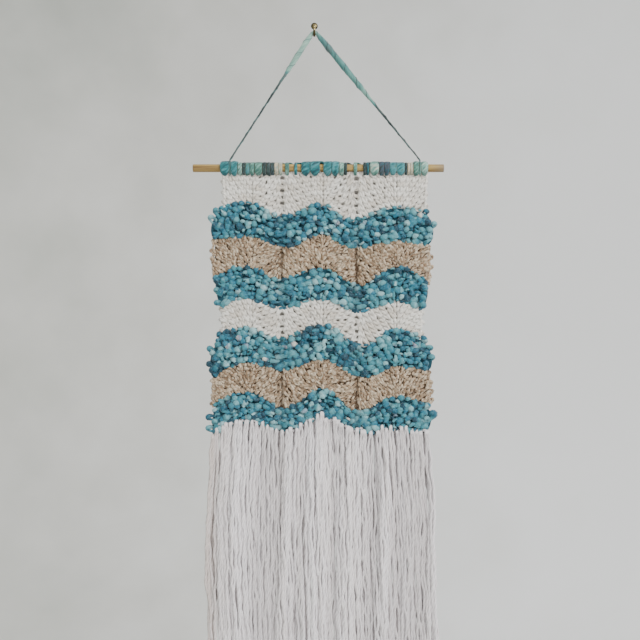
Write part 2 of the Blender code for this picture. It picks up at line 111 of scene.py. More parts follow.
HEM_LEFT, HEM_RIGHT = WAVES[-1].left_x * MM, WAVES[-1].right_x * MM

# Where the stitches meet on the crests and part in the valleys, down the whole panel
FAN_LINES = tuple(x * MM for x in (-76.0, -39.3, 10.6, 51.0, 100.2))


class Yarn(Enum):
    """The three yarns of the cloth; each value is its place in the ground's colours."""

    IVORY = 0.0
    TAN = 0.5
    BLUE = 1.0


class Stripe(NamedTuple):
    """A stripe between two waves, in millimetres: its yarn, its courses, how thick it is and how far
    it bulges past its neighbours at each side."""

    yarn: Yarn
    courses: int
    thickness: float
    left_bulge: float
    right_bulge: float


STRIPES = (
    Stripe(Yarn.IVORY, 7, 5.0, 0.0, 0.0),
    Stripe(Yarn.BLUE, 5, 13.5, 10.0, 10.0),
    Stripe(Yarn.TAN, 8, 7.0, 1.0, 1.2),
    Stripe(Yarn.BLUE, 5, 13.0, 3.0, 5.0),
    Stripe(Yarn.IVORY, 5, 5.5, 0.5, 1.0),
    Stripe(Yarn.BLUE, 6, 13.5, 11.0, 11.0),
    Stripe(Yarn.TAN, 7, 7.0, 1.0, 1.2),
    Stripe(Yarn.BLUE, 5, 13.0, 3.0, 7.0),
)


class Turn(NamedTuple):
    """One turn of the lashing: its width, its thickness and the bare space after it in millimetres,
    then its dye, from 0, charcoal, to 1, cream."""

    width: float
    thickness: float
    space: float
    dye: float


SNUG = 0.35
SLOT = 2.4
TURNS = (
    Turn(10.6, 3.5, SLOT, 0.34), Turn(7.8, 3.7, SNUG, 0.37), Turn(5.3, 2.0, SNUG, 0.72),
    Turn(3.4, 1.9, SNUG, 0.06), Turn(5.2, 2.0, SNUG, 0.56), Turn(5.2, 2.1, SNUG, 0.58),
    Turn(9.2, 2.3, SNUG, 0.62), Turn(4.5, 2.4, SNUG, 0.03), Turn(4.5, 2.2, SNUG, 0.07),
    Turn(4.5, 2.0, SNUG, 0.10), Turn(4.5, 1.9, SNUG, 0.93), Turn(4.5, 1.8, 3.6, 0.88),
    Turn(4.9, 1.8, 6.1, 0.64), Turn(3.6, 1.7, 4.9, 0.34), Turn(10.4, 2.9, SNUG, 0.36),
    Turn(11.8, 3.5, 4.4, 0.35), Turn(9.4, 3.4, SNUG, 0.40), Turn(8.8, 3.5, SNUG, 0.38),
    Turn(5.8, 2.0, SNUG, 0.70), Turn(3.5, 1.8, 7.9, 0.05), Turn(4.3, 1.9, 7.3, 0.66),
    Turn(3.5, 2.1, SNUG, 0.05), Turn(3.5, 2.1, 1.0, 0.27), Turn(10.6, 3.2, SNUG, 0.72),
    Turn(5.8, 2.9, SNUG, 0.18), Turn(6.4, 2.9, SNUG, 0.19), Turn(8.2, 2.2, SNUG, 0.46),
    Turn(9.3, 2.2, SNUG, 0.44), Turn(3.0, 1.8, SNUG, 0.02), Turn(3.0, 1.8, SNUG, 0.96),
    Turn(3.5, 1.9, SNUG, 0.90), Turn(6.6, 3.3, SLOT, 0.62), Turn(8.6, 3.0, SNUG, 0.70),
)
LEFT_SLOT, RIGHT_SLOT = 0, len(TURNS) - 2


class Slub(NamedTuple):
    """The hanger's radius and dye at a distance from the hook along one leg, in millimetres."""

    along: float
    radius: float
    dye: float


LEFT_SLUBS = (
    Slub(0, 2.2, 0.78), Slub(6, 2.5, 0.80), Slub(17, 3.8, 0.76), Slub(32, 3.0, 0.70),
    Slub(46, 3.5, 0.68), Slub(57, 2.6, 0.62), Slub(65, 1.5, 0.16), Slub(72, 1.5, 0.22),
    Slub(79, 1.35, 0.0), Slub(90, 1.15, 0.10), Slub(104, 1.2, 0.02), Slub(127, 1.1, 0.12),
    Slub(150, 1.1, 0.02), Slub(170, 1.0, 0.12), Slub(186, 0.95, 0.0), Slub(190, 0.9, 0.36),
    Slub(400, 0.9, 0.36),
)
RIGHT_SLUBS = (
    Slub(0, 2.2, 0.84), Slub(6, 2.5, 0.60), Slub(12, 3.1, 0.34), Slub(27, 3.9, 0.29),
    Slub(43, 3.5, 0.43), Slub(58, 3.6, 0.33), Slub(72, 3.2, 0.47), Slub(85, 3.5, 0.52),
    Slub(97, 2.7, 0.56), Slub(107, 1.8, 0.62), Slub(117, 1.4, 0.34), Slub(128, 1.3, 0.22),
    Slub(134, 1.3, 0.02), Slub(147, 1.3, 0.0), Slub(156, 1.0, 0.26), Slub(165, 0.95, 0.08),
    Slub(178, 0.95, 0.22), Slub(190, 0.9, 0.06), Slub(201, 0.9, 0.14), Slub(205, 0.9, 0.52),
    Slub(400, 0.9, 0.52),
)


def paint(red: int, green: int, blue: int) -> tuple[float, float, float, float]:
    """Turns a display colour into the linear colour that shaders use.

    Args:
        red, green, blue: from 0 to 255.

    Returns:
        The linear colour, with full alpha.
    """
    linear = []
    for level in (red, green, blue):
        share = level / 255
        linear.append(share / 12.92 if share <= 0.04045 else ((share + 0.055) / 1.055) ** 2.4)
    return (*linear, 1.0)


def dyes(*stops: tuple[float, int, int, int]) -> tuple:
    """A colour ramp's stops, from places and display colours."""
    return tuple((at, paint(*colour)) for at, *colour in stops)


def lerp(a: Numbers, b: Numbers, share: Numbers) -> Numbers:
    """Goes from a to b by a share; numbers or arrays."""
    return a + (b - a) * share


def unit(vectors: Array) -> Array:
    """Scales each row to a length of one."""
    return vectors / np.maximum(np.linalg.norm(vectors, axis=-1, keepdims=True), 1e-12)


def lengths(points: Array) -> Array:
    """How long a line is up to each of its points."""
    steps = np.linalg.norm(np.diff(points, axis=0), axis=1)
    return np.concatenate(([0.0], np.cumsum(steps)))


def loft(rings: int, sides: int, flip: bool = False) -> list[tuple[int, ...]]:
    """Joins rings of points into a tube.

    Args:
        rings: how many rings there are, each with its points in the same order.
        sides: how many points a ring has.
        flip: whether the faces turn the other way round.

    Returns:
        The faces round the tube, then the two that close its ends.
    """
    faces = []
    for near in range(0, (rings - 1) * sides, sides):
        for j in range(sides):
            k = (j + 1) % sides
            face = (near + j, near + k, near + sides + k, near + sides + j)
            faces.append((face[0], *face[:0:-1]) if flip else face)
    step = 1 if flip else -1
    last = (rings - 1) * sides
    return faces + [tuple(range(sides))[::step], tuple(range(last, last + sides))[::-step]]


@dataclass
class Wander:
    """Smooth seeded noise along a line, from -1 to 1."""

    seed: int
    size: int = 4096
    table: Array = field(init=False)

    def __post_init__(self) -> None:
        """Draws the table of heights that the noise runs through."""
        self.table = np.random.default_rng(self.seed).uniform(-1, 1, self.size)

    def at(self, place: Array) -> Array:
        """The noise at each place; one bump is about one unit long."""
        cell = np.floor(place).astype(int)
        share = place - cell
        share = share * share * (3 - 2 * share)
        return lerp(self.table[cell % self.size], self.table[(cell + 1) % self.size], share)


@dataclass
class Spool:
    """Gathers closed tubes of yarn into one mesh, with their length, turn, dye and shade."""

    sides: int
    points: list = field(default_factory=list)
    quads: list = field(default_factory=list)
    caps: list = field(default_factory=list)
    coordinates: list = field(default_factory=list)
    dyes: list = field(default_factory=list)
    shades: list = field(default_factory=list)
    count: int = 0

    def wind(
        self,
        centres: Array,
        radii: Numbers,
        across: Array,
        dye: Numbers = 0.0,
        shade: Numbers = 1.0,
        flat: Numbers = 1.0,
    ) -> None:
        """Adds one closed tube.

        Args:
            centres: its centreline, one point a ring.
            radii: its radius at each ring.
            across: a direction, or one for each ring, that the tube is never parallel to.
            dye: the colour's place on the yarn's own scale, for each ring.
            shade: how much light reaches the yarn at each ring.
            flat: thickness over width where the yarn is pressed flat.
        """
        rings = len(centres)
        heading = unit(np.gradient(centres, axis=0))
        side = unit(np.cross(heading, np.broadcast_to(across, centres.shape)))
        out = np.cross(side, heading)
        turn = np.arange(self.sides) * 2 * math.pi / self.sides
        half = np.broadcast_to(radii, (rings,))[:, None, None]
        thin = np.broadcast_to(flat, (rings,))[:, None, None]
        ring = (
            side[:, None] * np.cos(turn)[None, :, None] * half
            + out[:, None] * np.sin(turn)[None, :, None] * half * thin
        )
        self.points.append((centres[:, None] + ring).reshape(-1, 3))
        near = np.arange(rings - 1)[:, None] * self.sides
        j = np.arange(self.sides)[None]
        k = (j + 1) % self.sides
        quads = np.stack((near + j, near + self.sides + j, near + self.sides + k, near + k), -1)
        self.quads.append(self.count + quads.reshape(-1, 4))
        last = (rings - 1) * self.sides
        self.caps.append([self.count + i for i in range(self.sides)])
        self.caps.append([self.count + last + i for i in reversed(range(self.sides))])
        along = lengths(centres)
        turns = np.arange(self.sides + 1) / self.sides
        low = np.broadcast_to(along[:-1, None], (rings - 1, self.sides))
        high = np.broadcast_to(along[1:, None], (rings - 1, self.sides))
        first = np.broadcast_to(turns[None, :-1], low.shape)
        following = np.broadcast_to(turns[None, 1:], low.shape)
        corners = np.stack((first, low, first, high, following, high, following, low), -1)
        self.coordinates.append(corners.reshape(-1, 2))
        self.dyes.append(np.repeat(np.broadcast_to(dye, (rings,)), self.sides))
        self.shades.append(np.repeat(np.broadcast_to(shade, (rings,)), self.sides))
        self.count += rings * self.sides

    def cut(self, name: str, finish: "Finish") -> Piece:
        """Makes the gathered tubes into one smooth-shaded piece.

        Args:
            name: the piece's name.
            finish: what dresses it.

        Returns:
            The new object, riding on the hanging's body.
        """
        faces = np.concatenate(self.quads).tolist() + self.caps
        mesh = skin(name, np.concatenate(self.points).tolist(), faces)
        layer = mesh.uv_layers.new(name="yarn")
        corners = np.concatenate(self.coordinates)
        ends = np.zeros((len(self.caps) * self.sides, 2))
        ends[:, 1] = corners[0, 1]
        layer.uv.foreach_set("vector", np.concatenate((corners, ends)).astype(np.float32).ravel())
        store(mesh, "dye", np.concatenate(self.dyes))
        store(mesh, "shade", np.concatenate(self.shades))
        return place(name, mesh, finish)


def skin(name: str, points: list, faces: list, sharp: float | None = None) -> bpy.types.Mesh:
    """Makes a smooth-shaded mesh.

    Args:
        name: the mesh's name.
        points: its points.
        faces: the numbers of each face's points.
        sharp: the angle in degrees from which its edges stay sharp.

    Returns:
        The new mesh.
    """
    mesh = bpy.data.meshes.new(name)
    mesh.from_pydata(points, [], faces)
    mesh.shade_smooth()
    if sharp is not None:
        mesh.set_sharp_from_angle(angle=math.radians(sharp))
    return mesh


def store(mesh: bpy.types.Mesh, label: str, values: Array, domain: str = "POINT") -> None:
    """Stores a number for each point or face, which the finish's nodes read."""
    kept = mesh.attributes.new(label, "FLOAT", domain)
    kept.data.foreach_set("value", np.asarray(values, np.float32).ravel())


def place(name: str, mesh: bpy.types.Mesh, finish: "Finish") -> Piece:
    """Puts a mesh in the scene as a piece of the hanging.

    Args:
        name: the piece's name.
        mesh: its shape, in the frame's own coordinates.
        finish: what dresses it.

    Returns:
        The new object.
    """
    mesh.materials.append(finish.material())
    piece = bpy.data.objects.new(name, mesh)
    bpy.context.scene.collection.objects.link(piece)
    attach(piece, BODY)
    log.info("%s: %d faces", name, len(mesh.polygons))
    return piece


@dataclass
class Graph:
    """A short way to put nodes into a material or a group and join them."""

    tree: bpy.types.NodeTree

    def join(self, node: bpy.types.Node, inputs: dict) -> None:
        """Gives each named or numbered input its value, or links it to the socket that it reads."""
        for name, value in inputs.items():
            if isinstance(value, Socket):
                self.tree.links.new(value, node.inputs[name])
            else:
                node.inputs[name].default_value = value

    def add(self, kind: str, inputs: dict | None = None, **settings: object) -> bpy.types.bpy_prop_collection:
        """Adds one node.

        Args:
            kind: the node's type.
            inputs: a value, or a socket to read, for each named or numbered input.
            settings: the node's own properties.

        Returns:
            The new node's outputs.
        """
        node = self.tree.nodes.new(kind)
        for name, value in settings.items():
            setattr(node, name, value)
        self.join(node, inputs or {})
        return node.outputs

    def maths(self, operation: str, *values: Value) -> Socket:
        """One sum of numbers or sockets."""
        return self.add("ShaderNodeMath", dict(enumerate(values)), operation=operation)[0]

    def plus(self, first: Value, second: Value) -> Socket:
        """Adds two numbers."""
        return self.maths("ADD", first, second)

    def times(self, first: Value, second: Value) -> Socket:
        """Multiplies two numbers."""
        return self.maths("MULTIPLY", first, second)

    def rest(self, value: Value) -> Socket:
        """What is left of one."""
        return self.maths("SUBTRACT", 1.0, value)

    def mix(self, share: Value, first: Value, second: Value, blend: str = "MIX") -> Socket:
        """Mixes two colours by a share."""
        inputs = {0: share, 6: first, 7: second}
        return self.add("ShaderNodeMix", inputs, data_type="RGBA", blend_type=blend)[2]

    def brighten(self, colour: Value, factor: Value) -> Socket:
        """Makes a colour lighter or darker by a factor."""
        grey = self.add("ShaderNodeCombineColor", {0: factor, 1: factor, 2: factor})[0]
        return self.mix(1.0, colour, grey, "MULTIPLY")

    def span(self, value: Value, low: float, high: float, top: float = 1.0, bottom: float = 0.0) -> Socket:
        """Goes from the bottom to the top while a value goes from low to high, and stops there."""
        inputs = {"Value": value, "From Min": low, "From Max": high, "To Min": bottom, "To Max": top}
        return self.add("ShaderNodeMapRange", inputs)[0]

    def noise(self, where: Value, scale: float, detail: float, distortion: float = 0.0) -> Socket:
        """Clouds from 0 to 1."""
        inputs = {"Vector": where, "Scale": scale, "Detail": detail, "Distortion": distortion}
        return self.add("ShaderNodeTexNoise", inputs)[0]

    def stretched(self, where: Value, along: float, across: float) -> Socket:
        """A place scaled by one factor along X and by another across it."""
        return self.add("ShaderNodeMapping", {"Vector": where, "Scale": (along, across, across)})[0]

    def spot(self) -> Socket:
        """The place in the piece's own coordinates."""
        return self.add("ShaderNodeTexCoord")["Object"]

    def stored(self, label: str) -> Socket:
        """A number that the mesh stores."""
        return self.add("ShaderNodeAttribute", attribute_name=label)["Fac"]

    def bump(self, height: Value, strength: float, distance: float) -> Socket:
        """The normals of a surface with a height."""
        return self.add("ShaderNodeBump", {"Strength": strength, "Distance": distance, "Height": height})[0]

    def ramp(self, factor: Socket, stops: tuple) -> Socket:
        """Colours by a factor.

        Args:
            factor: what the colours follow.
            stops: pairs of place and colour.

        Returns:
            The colour socket.
        """
        node = self.tree.nodes.new("ShaderNodeValToRGB")
        self.join(node, {0: factor})
        bands = node.color_ramp.elements
        while len(bands) < len(stops):
            bands.new(1.0)
        for band, (at, colour) in zip(bands, stops):
            band.position = at
            band.color = colour
        return node.outputs[0]


def twisted_yarn() -> bpy.types.NodeTree:
    """The group for yarn: its plies wound round each other, and fibres that run with them.

    Returns:
        The group, which gives masks of the streaks and of the grooves, and a height.
    """
    name = "twisted_yarn"
    if name in bpy.data.node_groups:
        return bpy.data.node_groups[name]
    group = bpy.data.node_groups.new(name, "ShaderNodeTree")
    inputs, outputs = ("Plies", "Pitch", "Fuzz", "Around", "Along"), ("Streak", "Groove", "Height")
    for labels, way in ((inputs, "INPUT"), (outputs, "OUTPUT")):
        for label in labels:
            group.interface.new_socket(label, in_out=way, socket_type="NodeSocketFloat")
    graph = Graph(group)
    given = graph.add("NodeGroupInput")
    where = graph.add("ShaderNodeUVMap", uv_map="yarn")[0]
    round_it, along = graph.add("ShaderNodeSeparateXYZ", {0: where})[:2]
    twist = graph.maths("DIVIDE", along, given["Pitch"])
    strand = graph.plus(graph.times(given["Plies"], round_it), twist)
    groove = graph.maths("ABSOLUTE", graph.maths("SINE", graph.times(strand, math.pi)))
    round_groove = graph.maths("POWER", groove, 0.6)
    angle = graph.times(graph.plus(round_it, twist), 2 * math.pi)
    spot = graph.add("ShaderNodeCombineXYZ", {
        0: graph.times(graph.maths("COSINE", angle), given["Around"]),
        1: graph.times(graph.maths("SINE", angle), given["Around"]),
        2: graph.times(along, given["Along"]),
    })[0]
    fibres = graph.noise(spot, 1.0, 3.0)
    height = graph.plus(round_groove, graph.times(fibres, given["Fuzz"]))
    leaving = group.nodes.new("NodeGroupOutput")
    graph.join(leaving, {"Streak": fibres, "Groove": round_groove, "Height": height})
    return group


@dataclass(frozen=True)
class Finish:
    """What dresses a piece; each kind of finish has its own nodes.

    Attributes:
        slot: the material slot that it stands for; not used.
        label: its material's own name, which is never a slot's name.
    """

    slot: str
    label: str

    def material(self) -> bpy.types.Material:
        """The finish's material, made the first time that it is asked for."""
        made = bpy.data.materials.get(self.label)
        if made:
            return made
        made = bpy.data.materials.new(self.label)
        made.use_nodes = True
        graph = Graph(made.node_tree)
        self.dress(graph, made.node_tree.nodes["Principled BSDF"])
        return made

    def dress(self, graph: Graph, shader: bpy.types.Node) -> None:
        """Joins the finish's nodes to the shader."""
        raise NotImplementedError


@dataclass(frozen=True)
class YarnFinish(Finish):
    """Wool, cotton or slub yarn, coloured along its length.

    Attributes:
        stops: its dyes, from 0 to 1.
        plies, pitch: how many plies it has, and the length in which they go round once.
        fuzz, around, along: how far its fibres stand out, and how fine they are round and along it.
        marl, contrast: how far the fibres differ in dye and in lightness.
        groove_shade: the painted shade that darkens it between the plies.
        bump, height: how strong its relief is, and how high.
        fleck, fleck_colour: how strong its flecks are, and their colour.
        dark: its colour where no light gets in.
    """

    stops: tuple
    plies: float = 3.0
    pitch: float = 9 * MM
    fuzz: float = 0.5
    around: float = 3.0
    along: float = 110.0
    marl: float = 0.2
    contrast: float = 0.35
    groove_shade: float = 0.35
    bump: float = 0.6
    height: float = 0.5 * MM
    roughness: float = 0.92
    fleck: float = 0.0
    fleck_colour: tuple = (0.0, 0.0, 0.0, 1.0)
    dark: tuple = (0.02, 0.02, 0.02, 1.0)

    def dress(self, graph: Graph, shader: bpy.types.Node) -> None:
        """Colours by dye, streaks by fibre, and paints shade in the grooves between the plies and where no
        light gets in.
        """
        yarn = graph.add("ShaderNodeGroup", {
            "Plies": self.plies, "Pitch": self.pitch, "Fuzz": self.fuzz,
            "Around": self.around, "Along": self.along,
        }, node_tree=twisted_yarn())
        spread = graph.maths("SUBTRACT", yarn["Streak"], 0.5)
        streaked = graph.plus(graph.stored("dye"), graph.times(spread, self.marl))
        bright = graph.plus(1.0, graph.times(spread, self.contrast))
        colour = graph.brighten(graph.ramp(streaked, self.stops), bright)
        if self.fleck > 0:
            mask = graph.span(graph.noise(graph.spot(), 420.0, 2.0), 0.5, 0.68, self.fleck)
            colour = graph.mix(mask, colour, self.fleck_colour)
        # painted shade in the grooves between the plies
        crease = graph.times(graph.rest(yarn["Groove"]), self.groove_shade)
        colour = graph.mix(crease, colour, self.dark)
        graph.join(shader, {
            "Base Color": graph.mix(graph.rest(graph.stored("shade")), colour, self.dark),
            "Normal": graph.bump(yarn["Height"], self.bump, self.height),
            "Roughness": self.roughness,
            "Specular IOR Level": 0.3,
            "Sheen Weight": 0.25,
            "Sheen Roughness": 0.5,
        })


@dataclass(frozen=True)
class GroundFinish(Finish):
    """The inside of the cloth, in each stripe's yarn colour darkened as painted shade."""

    stops: tuple
    # painted shadow behind the eyelets
    eyelet_shadow: tuple = paint(44, 42, 40)

    def dress(self, graph: Graph, shader: bpy.types.Node) -> None:
        """Colours each stripe, with a fibrous unevenness, and paints shadow behind the eyelets."""
        fibres = graph.noise(graph.spot(), 600.0, 4.0)
        worn = graph.plus(0.6, graph.times(fibres, 0.8))
        colour = graph.brighten(graph.ramp(graph.stored("band"), self.stops), worn)
        graph.join(shader, {
            "Base Color": graph.mix(graph.rest(graph.stored("shade")), colour, self.eyelet_shadow),
            "Normal": graph.bump(fibres, 0.6, 0.4 * MM),
            "Roughness": 0.95,
        })


@dataclass(frozen=True)
class WoodFinish(Finish):
    """Bare birch with its grain along the dowel, darker at its cut ends and greyer at its right end, with
    painted shade underneath.
    """

    pale: tuple = paint(190, 161, 93)
    deep: tuple = paint(112, 84, 43)
    grey_end: tuple = paint(126, 112, 92)

    def dress(self, graph: Graph, shader: bpy.types.Node) -> None:
        """Streaks the wood along X, with fine pores, a soft sheen, painted shade underneath and a greyer
        right end.
        """
        where = graph.spot()
        grain = graph.noise(graph.stretched(where, 9.0, 260.0), 1.0, 5.0, 0.6)
        pores = graph.noise(graph.stretched(where, 60.0, 1400.0), 1.0, 2.0)
        dots = graph.span(pores, 0.58, 0.7, 0.35)
        colour = graph.mix(dots, graph.ramp(grain, ((0.34, self.deep), (0.6, self.pale))), self.deep)
        axes = graph.add("ShaderNodeSeparateXYZ", {0: where})
        for axis, first, last, most, tint in (
            # painted shade: the underside turns deep, as the light comes from above
            (2, DOWEL_Z + 0.1 * DOWEL_RADIUS, DOWEL_Z - 0.8 * DOWEL_RADIUS, 0.6, self.deep),
            (0, DOWEL_LEFT + 1.6 * MM, DOWEL_LEFT, 0.7, self.deep),
            (0, DOWEL_RIGHT - 1.6 * MM, DOWEL_RIGHT, 0.5, self.deep),
            (0, DOWEL_RIGHT - 16 * MM, DOWEL_RIGHT, 0.75, self.grey_end),
        ):
            colour = graph.mix(graph.span(axes[axis], first, last, most), colour, tint)
        graph.join(shader, {
            "Base Color": colour,
            "Roughness": graph.span(grain, 0.0, 1.0, 0.7, 0.5),
            "Normal": graph.bump(graph.maths("SUBTRACT", grain, dots), 0.25, 0.2 * MM),
        })


@dataclass(frozen=True)
class BrassFinish(Finish):
    """Polished brass, clouded at random by tarnishing, and darkened by the painted shade and dark reflections
    that its mesh stores.
    """

    bright: tuple = paint(190, 172, 124)
    # brown: the colour of tarnishing, and of the painted shade and dark reflections
    brown: tuple = paint(44, 38, 20)

    def dress(self, graph: Graph, shader: bpy.types.Node) -> None:
        """Clouds the polish with tarnishing and small scratches, and adds the painted shade and dark
        reflections that the mesh stores.
        """
        where = graph.spot()
        tarnish_and_shade = graph.span(graph.noise(where, 420.0, 4.0), 0.46, 0.62, 0.85)
        # painted shade and dark reflections, stored on the hook's mesh
        tarnish_and_shade = graph.maths("MAXIMUM", tarnish_and_shade, graph.rest(graph.stored("shade")))
        fine = graph.noise(where, 2600.0, 2.0)
        dull, scratched = graph.times(tarnish_and_shade, 0.3), graph.times(fine, 0.3)
        graph.join(shader, {
            "Base Color": graph.mix(tarnish_and_shade, self.bright, self.brown),
            "Roughness": graph.plus(dull, scratched),
            "Normal": graph.bump(fine, 0.15, 0.05 * MM),
            "Metallic": 1.0,
        })


SLUB_DYES = dyes(
    (0.0, 8, 36, 50), (0.14, 16, 70, 90), (0.32, 32, 112, 136), (0.50, 62, 134, 146),
    (0.66, 106, 164, 172), (0.78, 152, 192, 196), (0.90, 112, 120, 150), (1.0, 208, 206, 194),
)
LASH_DYES = dyes(
    (0.0, 34, 50, 52), (0.09, 60, 80, 74), (0.18, 76, 80, 96), (0.26, 30, 88, 96),
    (0.36, 48, 120, 124), (0.46, 86, 146, 154), (0.56, 68, 108, 94), (0.66, 96, 146, 134),
    (0.78, 150, 184, 172), (0.90, 190, 184, 164), (1.0, 210, 196, 166),
)
HANGER_DYES = dyes(
    (0.0, 44, 54, 56), (0.20, 92, 106, 104), (0.36, 72, 124, 124),
    (0.55, 104, 152, 144), (0.75, 148, 182, 168), (0.90, 190, 208, 196),
)
IVORY_DYES = dyes((0.0, 226, 213, 205), (0.3, 241, 234, 234), (1.0, 249, 244, 247))
WHITE_DYES = dyes((0.0, 214, 206, 194), (0.5, 228, 223, 215), (1.0, 238, 235, 228))
TAN_DYES = dyes((0.0, 124, 98, 74), (0.5, 174, 148, 120), (1.0, 216, 198, 174))
# The ground's colours: each stripe's yarn darkened, as painted shade between the stitches
GROUND_SHADES = dyes(
    (0.0, 132, 127, 121), (0.45, 132, 127, 121), (0.46, 70, 50, 32),
    (0.9, 70, 50, 32), (0.91, 20, 66, 80), (1.0, 20, 66, 80),
)

BRASS = BrassFinish("brass", "polished_brass")
BIRCH = WoodFinish("birch", "bare_birch")
SLUB = YarnFinish("striped_knit", "slub_yarn", SLUB_DYES, plies=1.0, pitch=16 * MM, fuzz=0.9, marl=0.3,
                  contrast=0.5, groove_shade=0.15, bump=0.6, roughness=0.58, fleck=0.15,
                  fleck_colour=paint(170, 206, 208), dark=paint(14, 54, 68))
LASHING_YARN = YarnFinish("blue_slub_yarn", "lashing_yarn", LASH_DYES, plies=1.0, pitch=24 * MM, fuzz=1.2,
                          around=1.4, along=260.0, marl=0.55, contrast=1.05, groove_shade=0.25, bump=0.9,
                          height=0.8 * MM, dark=paint(20, 44, 50))
HANGER_YARN = YarnFinish("pale_green_yarn", "hanger_yarn", HANGER_DYES, plies=1.0, pitch=40 * MM, fuzz=1.2,
                         marl=0.4, contrast=0.7, groove_shade=0.25, bump=0.8, height=0.7 * MM,
                         dark=paint(40, 66, 66))
IVORY = YarnFinish("ivory_yarn", "fringe_yarn", IVORY_DYES, plies=3.0, pitch=9 * MM, fuzz=0.8, marl=0.5,
                   contrast=0.2, groove_shade=0.3, bump=0.9, dark=paint(132, 124, 125))
WHITE_KNIT = YarnFinish("striped_knit", "white_yarn", WHITE_DYES, plies=3.0, pitch=8 * MM, fuzz=0.8, marl=0.3,
                        contrast=0.16, groove_shade=0.15, bump=0.7, dark=paint(96, 92, 88))
TAN = YarnFinish("striped_knit", "tan_yarn", TAN_DYES, plies=2.0, pitch=7 * MM, fuzz=1.0, marl=0.9,
                 contrast=0.65, groove_shade=0.35, bump=0.9, fleck=0.6, fleck_colour=paint(236, 224, 202),
                 dark=paint(72, 54, 36))
GROUND = GroundFinish("striped_knit", "ground", GROUND_SHADES)


@dataclass
class Cloth:
    """The rippling field that the whole panel is knitted on, as the solids have it."""

    edge_thickness: float = 2.4 * MM
    seam_thickness: float = 6.0 * MM
    crease: float = 0.8 * MM
    valley_hole: float = 3.4 * MM
    between_hole: float = 2.1 * MM
    crest_hole: float = 1.7 * MM
    small_hole: float = 2.3 * MM
    small_holes_a: tuple = (1.36, 2.36, 2.72, 3.42, 3.74, 4.74)
    small_holes_b: tuple = (1.54, 2.5, 3.62, 4.5)

    @staticmethod
    def stations(wave: Wave) -> tuple[Array, Array]:
        """A wave's seven stations, as places across and heights."""
        across = (wave.left_x, CREST_A, wave.valley_a_x, CREST_B, wave.valley_b_x, CREST_C, wave.right_x)
        return np.array(across) * MM, DOWEL_Z - np.array(wave[:7]) * MM

    @staticmethod
    def blend(values: Array, column: Array, level: bool) -> Array:
        """Values between stations: level for places, rounded at crests and valleys for heights."""
        left = np.clip(column.astype(int), 0, STATIONS - 1)
        share = column - left
        if not level:
            first, last = 1 - (1 - share) ** 2, share**2
            middle = (1 - np.cos(math.pi * share)) / 2
            share = np.where(left == 0, first, np.where(left == STATIONS - 1, last, middle))
        return lerp(values[left], values[left + 1], share)

    @staticmethod
    def swell(down: float) -> float:
        """How far a stripe has rounded out at a share of the way down it."""
        return math.sin(math.pi * down) ** 0.6 if 0 < down < 1 else 0.0

    def spot(self, stripe: int, column: Array, down: float) -> tuple[Array, Array]:
        """The middle of the cloth at station columns and a share of the way down a stripe."""
        across_a, heights_a = self.stations(WAVES[stripe])
        across_b, heights_b = self.stations(WAVES[stripe + 1])
        x = lerp(self.blend(across_a, column, True), self.blend(across_b, column, True), down)
        z = lerp(self.blend(heights_a, column, False), self.blend(heights_b, column, False), down)
        left = np.clip(1 - column, 0, 1) ** 2 * STRIPES[stripe].left_bulge
        right = np.clip(column - STATIONS + 1, 0, 1) ** 2 * STRIPES[stripe].right_bulge
        return x + (right - left) * MM * self.swell(down), z

    def fan_columns(self, stripe: int, down: float) -> list[float]:
        """The station columns of the fan lines at a share of the way down a stripe."""
        columns = np.linspace(0, STATIONS, FINE_COLUMNS)
        x, _ = self.spot(stripe, columns, down)
        return [float(np.interp(line, x, columns)) for line in FAN_LINES]

    def thickness(self, stripe: int, column: Array, down: float) -> Array:
        """Full thickness, thinner at the top edge, between stripes, in creases and at the sides."""
        full = STRIPES[stripe].thickness * MM
        seam = min(self.seam_thickness, full)
        edge = self.edge_thickness if stripe == 0 and down < 0.5 else seam
        _, valley_a, _, valley_b, _ = self.fan_columns(stripe, down)
        valley = np.minimum(np.abs(column - valley_a), np.abs(column - valley_b))
        thickness = lerp(edge, full, self.swell(down)) - self.crease * np.clip(1 - 5 * valley, 0, 1)
        reach = 2.4 * thickness / (40 * MM)
        inward = np.minimum(1.0, np.minimum(column, STATIONS - column) / reach)
        return np.maximum(0.3 * thickness, thickness * np.sqrt(1 - (1 - inward) ** 2))

    @staticmethod
    def middle(x: Array, z: Array) -> Array:
        """The cloth's middle surface, which curls slightly as it hangs."""
        drop = (DOWEL_Z - z) / (300 * MM)
        return DOWEL_Y - 1.2 * MM * drop * np.sin(x / (52 * MM) + 0.6)

    def eyelets(self, stripe: int) -> list[tuple[float, float, float]]:
        """Where the ivory stripes have holes: down the valleys and crests, and where the stitches slant.

        Args:
            stripe: the stripe's number from the top.

        Returns:
            The place across, the height and the size of each hole.
        """
        yarn, courses = STRIPES[stripe][:2]
        if yarn is not Yarn.IVORY:
            return []
        places = []
        for step in range(1, courses):
            here = self.fan_columns(stripe, step / courses)
            below = self.fan_columns(stripe, (step + 0.5) / courses)
            places += [(column, step, self.valley_hole) for column in here[1::2]]
            places += [(column, step + 0.5, self.between_hole) for column in below[1::2]]
            places += [(column, step, self.crest_hole) for column in here[::2]]
            columns = self.small_holes_a if step % 2 else self.small_holes_b
            places += [(column, step, self.small_hole) for column in columns]
        found = []
        for column, step, size in places:
            x, z = self.spot(stripe, np.array([column]), step / courses)
            found.append((float(x[0]), float(z[0]), size))
        return found

    def parted(self, stripe: int, points: Array) -> Array:
        """The yarn's points moved out of a stripe's eyelets."""
        moved = points.copy()
        for x, z, size in self.eyelets(stripe):
            away = points[:, (0, 2)] - (x, z)
            far = np.linalg.norm(away, axis=1)
            push = size * np.exp(-((far / size) ** 2))
            moved[:, (0, 2)] += away / np.maximum(far, 0.1 * MM)[:, None] * push[:, None]
        return moved

